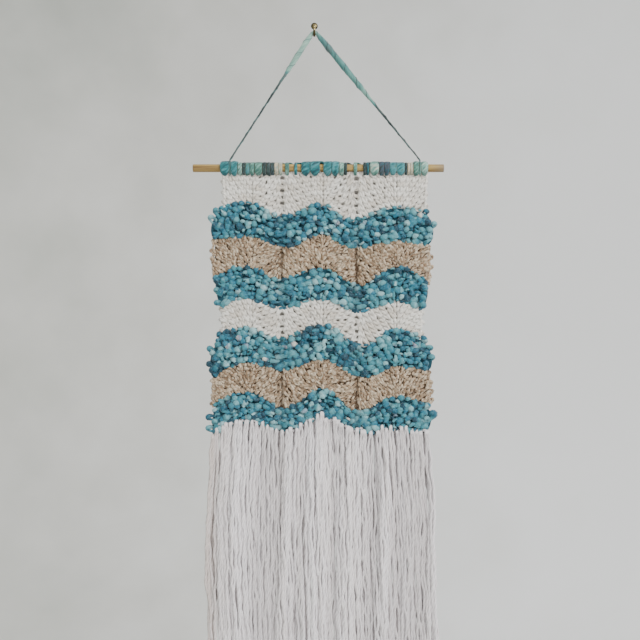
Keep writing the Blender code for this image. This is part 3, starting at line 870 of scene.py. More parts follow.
    def hem(self, x: Array) -> Array:
        """The height of the bottom edge at places across."""
        columns = np.linspace(0, STATIONS, FINE_COLUMNS)
        at, height = self.spot(len(STRIPES) - 1, columns, 1.0)
        return np.interp(x, at, height)


@dataclass
class Course:
    """One knitted row across the cloth, read by the length along it."""

    cloth: Cloth
    stripe: int
    down: float
    samples: int = 721

    def __post_init__(self) -> None:
        """Lays out the row's line, its pitch and the cloth's thickness along it."""
        self.column = np.linspace(0, STATIONS, self.samples)
        self.x, self.z = self.cloth.spot(self.stripe, self.column, self.down)
        steps = np.hypot(np.diff(self.x), np.diff(self.z))
        self.along = np.concatenate(([0.0], np.cumsum(steps)))
        self.half = self.cloth.thickness(self.stripe, self.column, self.down) / 2
        _, above = self.cloth.spot(self.stripe, self.column, 0.0)
        _, below = self.cloth.spot(self.stripe, self.column, 1.0)
        slope = np.gradient(self.z, self.x)
        self.pitch = (above - below) / STRIPES[self.stripe].courses / np.sqrt(1 + slope**2)

    def length_at(self, column: float) -> float:
        """The length along the row at a station column."""
        return float(np.interp(column, self.column, self.along))

    def read(self, along: Array) -> dict[str, Array]:
        """The place, headings, pitch and half thickness at lengths along the row."""
        found = {
            name: np.interp(along, self.along, values)
            for name, values in (("x", self.x), ("z", self.z), ("pitch", self.pitch), ("half", self.half))
        }
        beyond = np.clip(along, self.along[0] + MM, self.along[-1] - MM)
        run = np.interp(beyond + MM, self.along, self.x) - np.interp(beyond - MM, self.along, self.x)
        rise = np.interp(beyond + MM, self.along, self.z) - np.interp(beyond - MM, self.along, self.z)
        long = np.hypot(run, rise)
        found["run"], found["rise"] = run / long, rise / long
        return found


class Face(Enum):
    """Which side of the stitches shows in front."""

    KNIT = -1.0
    PURL = 1.0


@dataclass
class Band:
    """One stripe knitted as a single yarn that runs to and fro, course after course.

    Attributes:
        gauge: a stitch's width; loop_width and loop_height are shares of a stitch and of a course.
        pairing: how far the two legs of a stitch lean to one side.
        inset: how far the outer loops stay inside the stripe's upper and lower edge.
        pinch: how much thinner the yarn is behind than in front.
        jitter: how unevenly the stitches lie; thin and thick are the ends of the yarn's own range.
        depth: how far the yarn swings to each side of the cloth's middle, unless it fills the cloth.
        odd_dye: how far the odd places are off the rest.
        crease_width: how wide the valleys' creases are, which part and sink the stitches and darken them with
            painted shade.
        inner_shade: how light the yarn is inside the cloth.
        margins: how far the stitches stay from the left side and from the right one.
    """

    cloth: Cloth
    stripe: int
    finish: YarnFinish
    face: Face
    gauge: float
    radius: float
    name: str
    seed: int
    points_per_stitch: int = 20
    sides: int = 7
    loop_width: float = 0.24
    loop_height: float = 0.80
    pairing: float = 0.0
    inset: float = -2.0 * MM
    pinch: float = 0.0
    jitter: float = 0.25 * MM
    thin: float = 0.9
    thick: float = 1.1
    slub_length: float = 30 * MM
    depth: float = 1.1 * MM
    fills: bool = False
    dye_low: float = 0.0
    dye_high: float = 1.0
    dye_length: float = 60 * MM
    odd_dye: float = 0.0
    crease_width: float = 1.5 * MM
    crease_gap: float = 0.0
    crease_depth: float = 0.0
    crease_shade: float = 0.0
    inner_shade: float = 0.75
    margins: tuple[float, float] = (1.3 * MM, 1.3 * MM)
    margin_reach: float = 30 * MM
    edged: bool = True

    def stitches(self, course: Course, number: int) -> list[tuple[float, float, float]]:
        """Where the stitches of one course lie: fanning out from the valleys, meeting at the crests.

        Args:
            course: the row that they lie on.
            number: the row's number from the top, which shifts them by half a stitch.

        Returns:
            For each stitch its length along the row, its width and how it leans.
        """
        found = []
        offset = 0.5 * (number % 2)
        crest_a, valley_a, crest_b, valley_b, crest_c = self.cloth.fan_columns(self.stripe, course.down)
        for source, crest in (
            (0, crest_a), (valley_a, crest_a), (valley_a, crest_b),
            (valley_b, crest_b), (valley_b, crest_c), (STATIONS, crest_c),
        ):
            start, end = course.length_at(source), course.length_at(crest)
            span, side = abs(end - start), math.copysign(1.0, end - start)
            count = max(2, round(span / self.gauge))
            width = span / count
            for k in range(count + 1):
                at = (k + 0.5 - offset) * width
                if at > span - 0.3 * width:
                    break
                if at < 0.1 * width and source in (0, STATIONS):
                    continue
                lean = 0.0 if at < 0.1 * width else -side
                found.append((start + side * at, width, lean))
            if offset and side > 0:
                found.append((end, width, 0.0))
        found.sort()
        kept = [found[0]]
        for stitch in found[1:]:
            if stitch[0] - kept[-1][0] > 0.55 * self.gauge:
                kept.append(stitch)
        return kept

    def loops(self, course: Course, number: int, rng: np.random.Generator) -> tuple[Array, ...]:
        """The yarn's loops along one course.

        Args:
            course: the row that they lie on.
            number: its number from the top.
            rng: draws how unevenly the stitches lie.

        Returns:
            For each point of the yarn its length along the row, how far it lies above the row, and
            how far forward from -1 to 1.
        """
        stitches = np.array(self.stitches(course, number))
        theta = np.linspace(0, 2 * math.pi, self.points_per_stitch, endpoint=False)
        at, width, lean = (stitches[:, i][:, None] for i in range(3))
        at = at + rng.normal(0, self.jitter, at.shape)
        tall = 1 + rng.normal(0, self.jitter / (4 * MM), at.shape)
        pitch = course.read(np.broadcast_to(at, (len(stitches), len(theta))))["pitch"]
        rise = -np.cos(theta) * self.loop_height * pitch * tall
        edge = np.maximum(0.5 * pitch - self.inset, 0.5 * MM)
        if number == 0:
            rise = np.where(rise > edge, edge + 0.2 * (rise - edge), rise)
        if number == STRIPES[self.stripe].courses - 1:
            rise = np.where(rise < -edge, -edge + 0.2 * (rise + edge), rise)
        shift = 0.5 * width / np.maximum(pitch, MM)
        along = at + width * (theta / (2 * math.pi) - 0.5) + self.loop_width * width * np.sin(2 * theta)
        along = along + self.pairing * width * np.sin(theta)
        along = (along + lean * shift * rise * 0.8).ravel()
        forward = np.broadcast_to(np.cos(2 * theta) * self.face.value, rise.shape).ravel()
        return along, rise.ravel(), forward

    def course_path(self, number: int, rng: np.random.Generator) -> tuple[Array, ...]:
        """The yarn's line through one course.

        Args:
            number: the course's number from the top.
            rng: draws how unevenly the stitches lie.

        Returns:
            Its points before they are moved in depth, how far forward each lies from -1 to 1, the
            cloth's half thickness there, and how near it is to a valley's crease and to a side,
            from 0 to 1.
        """
        course = Course(self.cloth, self.stripe, (number + 0.5) / STRIPES[self.stripe].courses)
        along, up, forward = self.loops(course, number, rng)
        valleys = self.cloth.fan_columns(self.stripe, course.down)[1::2]
        gaps = along[:, None] - [course.length_at(column) for column in valleys]
        gap = gaps[np.arange(len(along)), np.argmin(np.abs(gaps), axis=1)]
        crease = np.exp(-((gap / self.crease_width) ** 2))
        along = along + np.sign(gap) * crease * self.crease_gap * np.maximum(forward, 0)
        left, right = (
            np.exp(-((np.maximum(far, 0) / self.margin_reach) ** 2))
            for far in (along, course.along[-1] - along)
        )
        found = course.read(along + self.margins[0] * left - self.margins[1] * right)
        x = found["x"] - found["rise"] * up
        z = found["z"] + found["run"] * up
        points = np.stack((x, np.zeros_like(x), z), -1)
        return points, forward, found["half"], crease, np.maximum(left, right) ** 12

    def edge(self, spool: Spool, column: float, dye: float) -> None:
        """Runs a yarn down one side of the stripe, over the turns of its courses.

        Args:
            spool: what it is added to.
            column: the side's station, the first or the last.
            dye: its colour's place on the yarn's own scale.
        """
        courses = STRIPES[self.stripe].courses
        down = np.linspace(0.5, 2 * courses - 0.5, 8 * courses) / (2 * courses)
        spots = [self.cloth.spot(self.stripe, np.array([column]), float(share)) for share in down]
        x, z = np.array([(across[0], height[0]) for across, height in spots]).T
        side = 1 if column else -1
        turn = 2 * math.pi * courses * down
        x = x - side * (self.margins[column > 0] + self.radius * (0.4 + 0.3 * np.cos(turn)))
        y = self.cloth.middle(x, z) - 0.5 * MM + 0.6 * self.radius * np.sin(turn)
        spool.wind(np.stack((x, y, z), -1), np.full(len(x), 0.9 * self.radius), RIGHTWARD, dye)

    def girth(self, along: Array, forward: Array, side: Array) -> Array:
        """The yarn's radius: thick and thin along it, never thin at the sides, pinched behind."""
        swell = 0.5 + 0.5 * Wander(self.seed + 1).at(along / self.slub_length)
        swell = np.maximum(np.clip(1.6 * swell - 0.3, 0, 1), 0.5 * side)
        uneven = 1 + 0.06 * Wander(self.seed + 2).at(along / (3 * MM))
        radius = self.radius * lerp(self.thin, self.thick, swell) * uneven
        return radius * (1 - self.pinch * (1 - forward) / 2)

    def reach(self, half: Array, radius: Array) -> Array:
        """How far the yarn swings forward and back inside the cloth's half thickness."""
        swing = np.maximum(half - radius, 0.2 * MM) if self.fills else np.full_like(half, self.depth)
        return np.minimum(swing, np.maximum(half - 0.6 * radius, 0.3 * MM))

    def dyed(self, along: Array) -> Array:
        """The dye along the yarn, which changes slowly and quickly, with odd places far off the rest."""
        slow = 0.5 + 0.5 * Wander(self.seed + 4).at(along / self.dye_length)
        quick = Wander(self.seed + 5).at(along / (0.35 * self.dye_length))
        dye = lerp(self.dye_low, self.dye_high, np.clip(slow + 0.3 * quick, 0, 1))
        odd = Wander(self.seed + 8).at(along / (0.45 * self.dye_length))
        dye = dye + self.odd_dye * np.clip(10 * (np.abs(odd) - 0.86), 0, 1) * np.where(odd > 0, 1.0, 0.7)
        return np.clip(dye, 0, 1)

    def knit(self) -> Piece:
        """Knits the whole stripe.

        Returns:
            The new piece.
        """
        rng = np.random.default_rng(self.seed)
        runs = []
        for number in range(STRIPES[self.stripe].courses):
            run = self.course_path(number, rng)
            runs.append(tuple(part[::-1] for part in run) if number % 2 else run)
        points, forward, half, crease, side = (np.concatenate(parts) for parts in zip(*runs))
        along = lengths(points)
        radius = self.girth(along, forward, side)
        for axis, seed in ((0, self.seed + 6), (2, self.seed + 7)):
            points[:, axis] += self.jitter * Wander(seed).at(along / (8 * MM))
        points = self.cloth.parted(self.stripe, points)
        loose = self.jitter * 1.5 * Wander(self.seed + 3).at(along / (9 * MM))
        middle = self.cloth.middle(points[:, 0], points[:, 2])
        reach = self.reach(half, radius)
        points[:, 1] = middle - forward * np.where(forward > 0, reach, 0.85 * reach) - loose
        points[:, 1] += np.where(forward > 0, forward * self.crease_depth * crease, 0.0)
        lit = lerp(self.inner_shade, 1.0, np.clip(np.abs(forward) + 0.15, 0, 1))
        spool = Spool(self.sides)
        spool.wind(points, radius, BACKWARD, self.dyed(along), lit * (1 - self.crease_shade * crease))
        if self.edged:
            for column in (0.0, float(STATIONS)):
                self.edge(spool, column, 0.6)
        return spool.cut(self.name, self.finish)


@dataclass
class KnittedPanel:
    """The striped cloth: a ground sheet inside and the stitches of each stripe over it."""

    cloth: Cloth
    fine_rows: int = 18
    coarse_rows: int = 7
    ground_thickness: float = 1.0 * MM
    inset: float = 4.2 * MM

    def ground(self) -> Piece:
        """The thin sheet inside the cloth that closes it between the stitches, darker than the yarn as
        painted shade.
        """
        columns = np.linspace(0, STATIONS, FINE_COLUMNS)
        lines, bands, shades = [], [], []
        for number, stripe in enumerate(STRIPES):
            first = 0 if number == 0 else 1
            rows = self.fine_rows if stripe.yarn is Yarn.IVORY else self.coarse_rows
            for step in range(first, rows + 1):
                down = step / rows
                x, z = self.cloth.spot(number, columns, down)
                centre = (x[0] + x[-1]) / 2
                x = centre + (x - centre) * (1 - 2 * self.inset / (x[-1] - x[0]))
                if number == 0 and step == 0:
                    z = z - 2 * EDGE_BAR
                lines.append(np.stack((x, self.cloth.middle(x, z), z), -1))
                bands.append(stripe.yarn.value)
                shades.append(self.shade(number, x, z))
        grid = np.array(lines)
        offset = np.array((0.0, self.ground_thickness / 2, 0.0))
        points = np.concatenate(((grid - offset).reshape(-1, 3), (grid + offset).reshape(-1, 3)))
        faces, rows = self.closed_sheet(*grid.shape[:2])
        mesh = skin("knitted_ground", points.tolist(), faces)
        store(mesh, "band", [bands[row] for row in rows], "FACE")
        store(mesh, "shade", np.tile(np.array(shades).ravel(), 2))
        return place("knitted_ground", mesh, GROUND)

    @staticmethod
    def closed_sheet(rows: int, wide: int) -> tuple[list[tuple[int, ...]], list[int]]:
        """Joins two grids of points, the front one first, into a thin closed sheet.

        Args:
            rows: how many lines each grid has.
            wide: how many points a line has.

        Returns:
            The faces, and the number of the line that each belongs to.
        """
        back = rows * wide
        faces, owners = [], []
        for i in range(rows - 1):
            for a in range(i * wide, i * wide + wide - 1):
                faces.append((a, a + wide, a + wide + 1, a + 1))
                faces.append((back + a, back + a + 1, back + a + wide + 1, back + a + wide))
            for a, step in ((i * wide, 1), (i * wide + wide - 1, -1)):
                faces.append((a, back + a, back + a + wide, a + wide)[::step])
            owners += [i + 1] * (2 * wide)
        for i, step in ((0, 1), (rows - 1, -1)):
            for a in range(i * wide, i * wide + wide - 1):
                faces.append((a, a + 1, back + a + 1, back + a)[::step])
            owners += [i] * (wide - 1)
        return faces, owners

    def shade(self, number: int, x: Array, z: Array) -> Array:
        """How light the ground is along a line: dark behind the eyelets of the ivory stripes."""
        light = np.ones_like(x)
        if STRIPES[number].yarn is not Yarn.IVORY:
            return light
        for hole_x, hole_z, size in self.cloth.eyelets(number):
            far = np.hypot(x - hole_x, z - hole_z)
            light = light * (1 - 0.9 * np.exp(-((far / (0.8 * size)) ** 2)))
        return light

    def band(self, number: int, stripe: Stripe, name: str) -> Band:
        """The settings that one stripe is knitted with."""
        shared = {"cloth": self.cloth, "stripe": number, "name": name, "seed": 100 * (number + 1)}
        if stripe.yarn is Yarn.IVORY:
            return Band(finish=WHITE_KNIT, face=Face.KNIT, gauge=7.6 * MM, radius=1.85 * MM,
                        points_per_stitch=22, inner_shade=0.4, pairing=0.055,
                        margins=(4.6 * MM, 2.0 * MM), **shared)
        if stripe.yarn is Yarn.TAN:
            return Band(finish=TAN, face=Face.KNIT, gauge=5.2 * MM, radius=1.5 * MM, points_per_stitch=16,
                        sides=7, jitter=0.95 * MM, thin=0.65, thick=1.3, slub_length=3 * MM, depth=1.8 * MM,
                        dye_length=6 * MM, inner_shade=0.5, inset=0.2 * MM, crease_width=2.1 * MM,
                        crease_gap=1.4 * MM, crease_depth=2.4 * MM, crease_shade=0.8, **shared)
        return Band(finish=SLUB, face=Face.PURL, gauge=8.8 * MM, radius=2.9 * MM, points_per_stitch=22,
                    sides=9, loop_width=0.14, jitter=1.15 * MM, thin=0.42, thick=1.6, slub_length=7 * MM,
                    fills=True, inset=1.6 * MM, pinch=0.5, dye_low=0.1, dye_high=0.76,
                    dye_length=22 * MM, odd_dye=0.4, inner_shade=0.1, crease_width=7 * MM,
                    crease_depth=2.2 * MM, crease_shade=0.35, margins=(5.0 * MM, 5.0 * MM),
                    edged=False, **shared)

    def knit(self) -> list[Piece]:
        """Knits every stripe, top to bottom.

        Returns:
            The ground first, then the stripes.
        """
        pieces = [self.ground()]
        counts: dict[Yarn, int] = {}
        for number, stripe in enumerate(STRIPES):
            counts[stripe.yarn] = counts.get(stripe.yarn, 0) + 1
            name = f"{stripe.yarn.name.lower()}_stripe_{counts[stripe.yarn]}"
            pieces.append(self.band(number, stripe, name).knit())
        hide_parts("knitted_panel")
        return pieces


@dataclass
class Fringe:
    """Plied strands in layers that hang from the cloth's bottom edge, two from each folded yarn."""

    cloth: Cloth
    yarns: int = 44
    names: tuple = ("fringe_front", "fringe_middle", "fringe_back")
    shades: tuple = (1.0, 0.9, 0.66)
    rings: int = 64
    root_rings: int = 7
    sides: int = 6
    radius: float = 1.85 * MM
    parting: float = 1.5 * MM
    spread: float = 7 * MM
    lean: float = 6 * MM
    fold: float = 3.4 * MM
    layer_space: float = 2.0 * MM
    root_rise: float = 3.6 * MM
    root_reach: float = 4.6 * MM
    seed: int = 900

    def sway(self, x: Array, share: Array) -> Array:
        """How far a strand has moved sideways at a share of its length."""
        across = (x - HEM_LEFT) / (HEM_RIGHT - HEM_LEFT)
        spread = lerp(-self.spread, self.spread, across) * np.minimum(1.0, 3 * share)
        return spread + self.lean * share**2 + 1.5 * MM * np.sin(x / (13 * MM) + 2.2 * share) * share

    def folded(self, x: Array, long: Array) -> Array:
        """How far the fringe's broad soft folds come forward, from -1 to 1."""
        folds = np.clip(1.7 * Wander(self.seed + 1).at(x / (15 * MM) + long / (400 * MM)), -1, 1)
        return folds * np.minimum(1.0, 0.3 + long / (60 * MM))

    def root(self, start: Array, layer: int) -> Array:
        """The bend of a strand over the cloth's edge, which ends where its body starts."""
        turn = np.linspace(0.85 * math.pi, 0, self.root_rings, endpoint=False)
        rise = self.root_rise * (1 if layer == 0 else 0.6)
        behind = 0.5 * self.root_reach * (1 if layer < 2 else -1)
        offset = np.stack((0 * turn, behind * (1 - np.cos(turn)), rise * np.sin(turn)), -1)
        return start + offset

    def strand(
        self, spool: Spool, x: float, top: float, leg: float, layer: int, rng: np.random.Generator
    ) -> None:
        """Hangs one strand: out of the cloth's edge, over, and down in slight waves.

        Args:
            spool: what the strand is added to.
            x: where its yarn comes out of the cloth.
            top: how high its fold lies.
            leg: -1 for the left strand of the yarn, 1 for the right one.
            layer: 0 for the front layer.
            rng: draws its waves.
        """
        middle = float(self.cloth.middle(np.array([x]), np.array([top]))[0])
        forward = (1 - layer) * self.layer_space
        bottom = FRINGE_BOTTOM + rng.uniform(0, 12 * MM)
        share = np.linspace(0, 1, self.rings)
        z = lerp(top, bottom, share)
        long = top - z
        wave = Wander(int(rng.integers(1 << 30)))
        loose = np.minimum(1.0, long / (24 * MM))
        side = self.sway(np.full_like(z, x), share) + 1.5 * MM * loose * wave.at(long / (34 * MM))
        crimp = 0.7 * MM * wave.at(90 + long / (8 * MM))
        side += 1.2 * MM * loose**0.3 * wave.at(50 + long / (15 * MM)) + crimp
        drift = rng.normal(0, 0.6 * MM) * loose
        side += leg * self.parting * np.minimum(1.0, 0.45 + long / (9 * MM)) + drift
        near = self.root_reach * np.exp(-long / (14 * MM)) if layer == 0 else 0.0
        depth = middle - forward * np.minimum(1.0, 0.4 + long / (20 * MM)) - near
        depth = depth + 0.9 * MM * loose * wave.at(200 + long / (20 * MM))
        folded = self.folded(x + side, long)
        depth = depth - self.fold * folded
        body = np.stack((x + side, depth, z), -1)
        path = np.concatenate((self.root(body[0], layer), body))
        uneven = 1 + 0.2 * wave.at(300 + 0.8 * np.arange(len(path)))
        radius = self.radius * (1 + rng.normal(0, 0.08)) * uneven
        radius[0] *= 0.5
        radius[-1] *= 0.6
        # painted shade: darker near the root, under the cloth's edge
        deep = np.minimum(1.0, np.concatenate((np.full(self.root_rings, 6 * MM), long)) / (12 * MM))
        # painted shade: strands near the left edge take the darker, warmer end of the dye; across the rest
        # the dye differs at random
        left_edge_shade = np.clip((x - HEM_LEFT) / (30 * MM), 0, 1)
        dye = np.full(len(path), left_edge_shade * rng.uniform(0.4, 1))
        # painted shade in the hollows of the broad folds
        fold_shade = np.concatenate((np.ones(self.root_rings), 0.86 + 0.14 * folded))
        spool.wind(path, radius, RIGHTWARD, dye, lerp(0.8, 1.0, deep) * fold_shade * self.shades[layer])

    def hang(self) -> list[Piece]:
        """Hangs every layer as its own piece.

        Returns:
            The layers, front first.
        """
        rng = np.random.default_rng(self.seed)
        pitch = (HEM_RIGHT - HEM_LEFT) / self.yarns
        pieces = []
        for layer, name in enumerate(self.names):
            spool = Spool(self.sides)
            for i in range(self.yarns):
                x = HEM_LEFT + pitch * (i + 0.5 + 0.5 * (layer % 2)) + rng.normal(0, 0.2 * pitch)
                x = min(max(x, HEM_LEFT + 2 * MM), HEM_RIGHT - 2 * MM)
                top = float(self.cloth.hem(np.array([x]))[0]) - 0.8 * MM + rng.normal(0, 1.7 * MM)
                for leg in (-1.0, 1.0):
                    self.strand(spool, x, top, leg, layer, rng)
            pieces.append(spool.cut(name, IVORY))
        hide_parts("fringe")
        return pieces


def wound(x: Array, degrees: Array, out: Array) -> Array:
    """Points out from the dowel's axis; 0 degrees is behind it, 90 below, 180 in front, 270 above."""
    angle = np.radians(degrees)
    return np.stack((x + 0 * angle, DOWEL_Y + out * np.cos(angle), DOWEL_Z - out * np.sin(angle)), -1)


def dip(degrees: Array) -> Array:
    """How far the yarn has left the wood for the cloth's edge, from 0 to 1."""
    return np.maximum(0.0, np.cos(np.radians(degrees - 90))) ** 2


def turn_centres() -> Array:
    """Where each turn of the lashing lies along the dowel."""
    starts = LASHING_START + np.cumsum([0.0] + [(turn.width + turn.space) * MM for turn in TURNS[:-1]])
    return starts + np.array([turn.width for turn in TURNS]) * MM / 2


def slot_centre(slot: int) -> float:
    """The middle of the space after a turn, where a leg of the hanger goes round the dowel."""
    return float(turn_centres()[slot] + (TURNS[slot].width + TURNS[slot].space) / 2 * MM)


@dataclass
class Lashing:
    """The slub yarn wound round the dowel and through the cloth's edge at every turn."""

    steps: int = 40
    sides: int = 18
    squeezed_width: float = 2.2 * MM
    squeezed_thickness: float = 1.3 * MM
    seed: int = 500

    def wind(self) -> Piece:
        """Winds the yarn, fat where it shows in front and pressed thin where it passes the cloth."""
        centres = turn_centres()
        width = np.array([turn.width for turn in TURNS]) * MM / 2
        thickness = np.array([turn.thickness for turn in TURNS]) * MM / 2
        dye = np.array([turn.dye for turn in TURNS])
        degrees = np.arange(72, (len(TURNS) - 1) * 360 + 289, 360 / self.steps)
        turn = (degrees // 360).astype(int)
        within = degrees - 360 * turn
        following = np.minimum(turn + 1, len(TURNS) - 1)
        share = np.maximum(0.0, (within - LASH_CROSSOVER) / (360 - LASH_CROSSOVER))
        x = lerp(centres[turn], centres[following], share)
        half_width = lerp(width[turn], width[following], share)
        half_thickness = lerp(thickness[turn], thickness[following], share)
        pinch = dip(within)
        half_width = lerp(half_width, np.minimum(half_width, self.squeezed_width), pinch**3)
        half_thickness = lerp(half_thickness, np.minimum(half_thickness, self.squeezed_thickness), pinch)
        uneven = Wander(self.seed)
        half_width = half_width * (1 + 0.07 * uneven.at(degrees / 40))
        out = DOWEL_RADIUS + WIND_CLEAR + half_thickness + LASH_DIP * pinch
        path = wound(x, within, out)
        dye = lerp(dye[turn], dye[following], share) + 0.06 * uneven.at(300 + degrees / 25)
        spool = Spool(self.sides)
        shade = np.clip(1.05 - 0.45 * pinch, 0, 1)
        spool.wind(path, half_width, np.cross(RIGHTWARD, unit(np.gradient(path, axis=0))),
                   np.clip(dye, 0, 1), shade, half_thickness / half_width)
        lashing = spool.cut("slub_lashing", LASHING_YARN)
        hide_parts("lashing")
        return lashing


@dataclass
class Hanger:
    """The thick-and-thin yarn over the hook, with a fine dark binder strand wound round it."""

    entry_drop: float = 2.5 * MM
    wound_radius: float = 0.9 * MM
    entry_height: float = 8.6 * MM
    segments: int = 70
    sides: int = 14
    binder_radius: float = 0.5 * MM
    binder_pitch: float = 19 * MM
    binder_short: float = 26 * MM
    binder_steps: float = 1.6 * MM
    bowl_points: int = 9
    seed: int = 61

    def leg(self, x: float, slubs: tuple[Slub, ...]) -> tuple[Array, Array, Array]:
        """One leg from the top of the hook's bowl to the tail.

        Args:
            x: where it goes round the dowel.
            slubs: its thickness and dye along it.

        Returns:
            Its points, radii and dyes.
        """
        side = math.copysign(1.0, x)
        wire_z = BOWL_Z - BOWL_RADIUS
        over = WIRE_RADIUS + 0.3 * MM + slubs[0].radius * MM
        front = DOWEL_RADIUS + WIND_CLEAR + self.wound_radius
        entry = np.array((x, DOWEL_Y - front, DOWEL_Z + self.entry_height))
        slope = math.atan2(wire_z + over - entry[2], abs(x))
        angles = slope * np.linspace(0, 1, self.bowl_points)
        across, height = side * over * np.sin(angles), wire_z + over * np.cos(angles)
        bowl = np.stack((across, np.full(self.bowl_points, BOWL_Y), height), -1)
        share = np.arange(1, self.segments)[:, None] / self.segments
        straight = lerp(bowl[-1], entry, share)
        corner = np.array((
            entry + np.array((-side * 0.3 * MM, 0.0, 0.3 * MM)),
            entry + np.array((0.0, 0.0, -self.entry_drop)),
        ))
        degrees = np.arange(180, 8, -9.5)
        out = DOWEL_RADIUS + WIND_CLEAR + self.wound_radius + LASH_DIP * dip(degrees)
        points = np.concatenate((bowl, straight, corner, wound(np.full_like(degrees, x), degrees, out)))
        along = lengths(points) / MM
        table = np.array(slubs)
        radius = np.interp(along, table[:, 0], table[:, 1]) * MM
        dye = np.interp(along, table[:, 0], table[:, 2])
        return points, radius, dye

    def hang(self) -> Piece:
        """Hangs the yarn and its binder.

        Returns:
            The hanger.
        """
        left = self.leg(slot_centre(LEFT_SLOT), LEFT_SLUBS)
        right = self.leg(slot_centre(RIGHT_SLOT), RIGHT_SLUBS)
        points, radius, dye = (np.concatenate((a[::-1], b[1:])) for a, b in zip(left, right))
        along = lengths(points)
        radius = radius * (1 + 0.13 * Wander(self.seed).at(along / (6 * MM)))
        across = self.transported(points)
        spool = Spool(self.sides)
        dye = np.clip(dye + 0.08 * Wander(self.seed + 1).at(along / (9 * MM)), 0, 1)
        spool.wind(points, radius, across, dye)
        hanger = spool.cut("slub_hanger", HANGER_YARN)
        binder = self.binder(points, radius, across)
        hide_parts("hanger")
        return hanger

    @staticmethod
    def transported(points: Array) -> Array:
        """A direction across the yarn at each point, carried along it without twisting."""
        headings = unit(np.gradient(points, axis=0))
        across = [np.array((1.0, 0.0, 0.0))]
        for heading in headings:
            kept = across[-1] - heading * float(across[-1] @ heading)
            across.append(kept / np.linalg.norm(kept))
        return np.array(across[1:])

    def binder(self, points: Array, radius: Array, across: Array) -> Piece:
        """The fine dark strand that holds the slubs, wound round the whole yarn."""
        along = lengths(points)
        side = np.cross(unit(np.gradient(points, axis=0)), across)
        fine = np.arange(self.binder_short, along[-1] - self.binder_short, self.binder_steps)
        at, one, two = (
            np.stack([np.interp(fine, along, column) for column in rows.T], -1)
            for rows in (points, across, side)
        )
        one, two = unit(one), unit(two)
        turn = 2 * math.pi * fine / self.binder_pitch + 1.2 * Wander(self.seed + 2).at(fine / (30 * MM))
        out = np.interp(fine, along, radius)[:, None] * 0.96
        path = at + out * (one * np.cos(turn)[:, None] + two * np.sin(turn)[:, None])
        spool = Spool(6)
        middle = 0.5 * along[-1]
        spool.wind(path, self.binder_radius, self.transported(path), np.where(fine < middle, 0.3, 0.0))
        return spool.cut("hanger_binder", HANGER_YARN)


@dataclass
class Dowel:
    """The birch rod, turned with softly broken ends."""

    sides: int = 48
    chamfer: float = 0.5 * MM

    def turn(self) -> Piece:
        """Turns the rod."""
        steps = np.linspace(DOWEL_LEFT + self.chamfer, DOWEL_RIGHT - self.chamfer, 40)
        near = 0.3 * self.chamfer
        places = [DOWEL_LEFT, DOWEL_LEFT + near, *steps, DOWEL_RIGHT - near, DOWEL_RIGHT]
        radii = [DOWEL_RADIUS - self.chamfer, DOWEL_RADIUS - near]
        radii = radii + [DOWEL_RADIUS] * len(steps) + radii[::-1]
        points = [
            (x, DOWEL_Y + radius * math.cos(a), DOWEL_Z + radius * math.sin(a))
            for x, radius in zip(places, radii)
            for a in np.arange(self.sides) * 2 * math.pi / self.sides
        ]
        mesh = skin("birch_dowel", points, loft(len(places), self.sides), 40)
        dowel = place("birch_dowel", mesh, BIRCH)
        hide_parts("dowel")
        return dowel


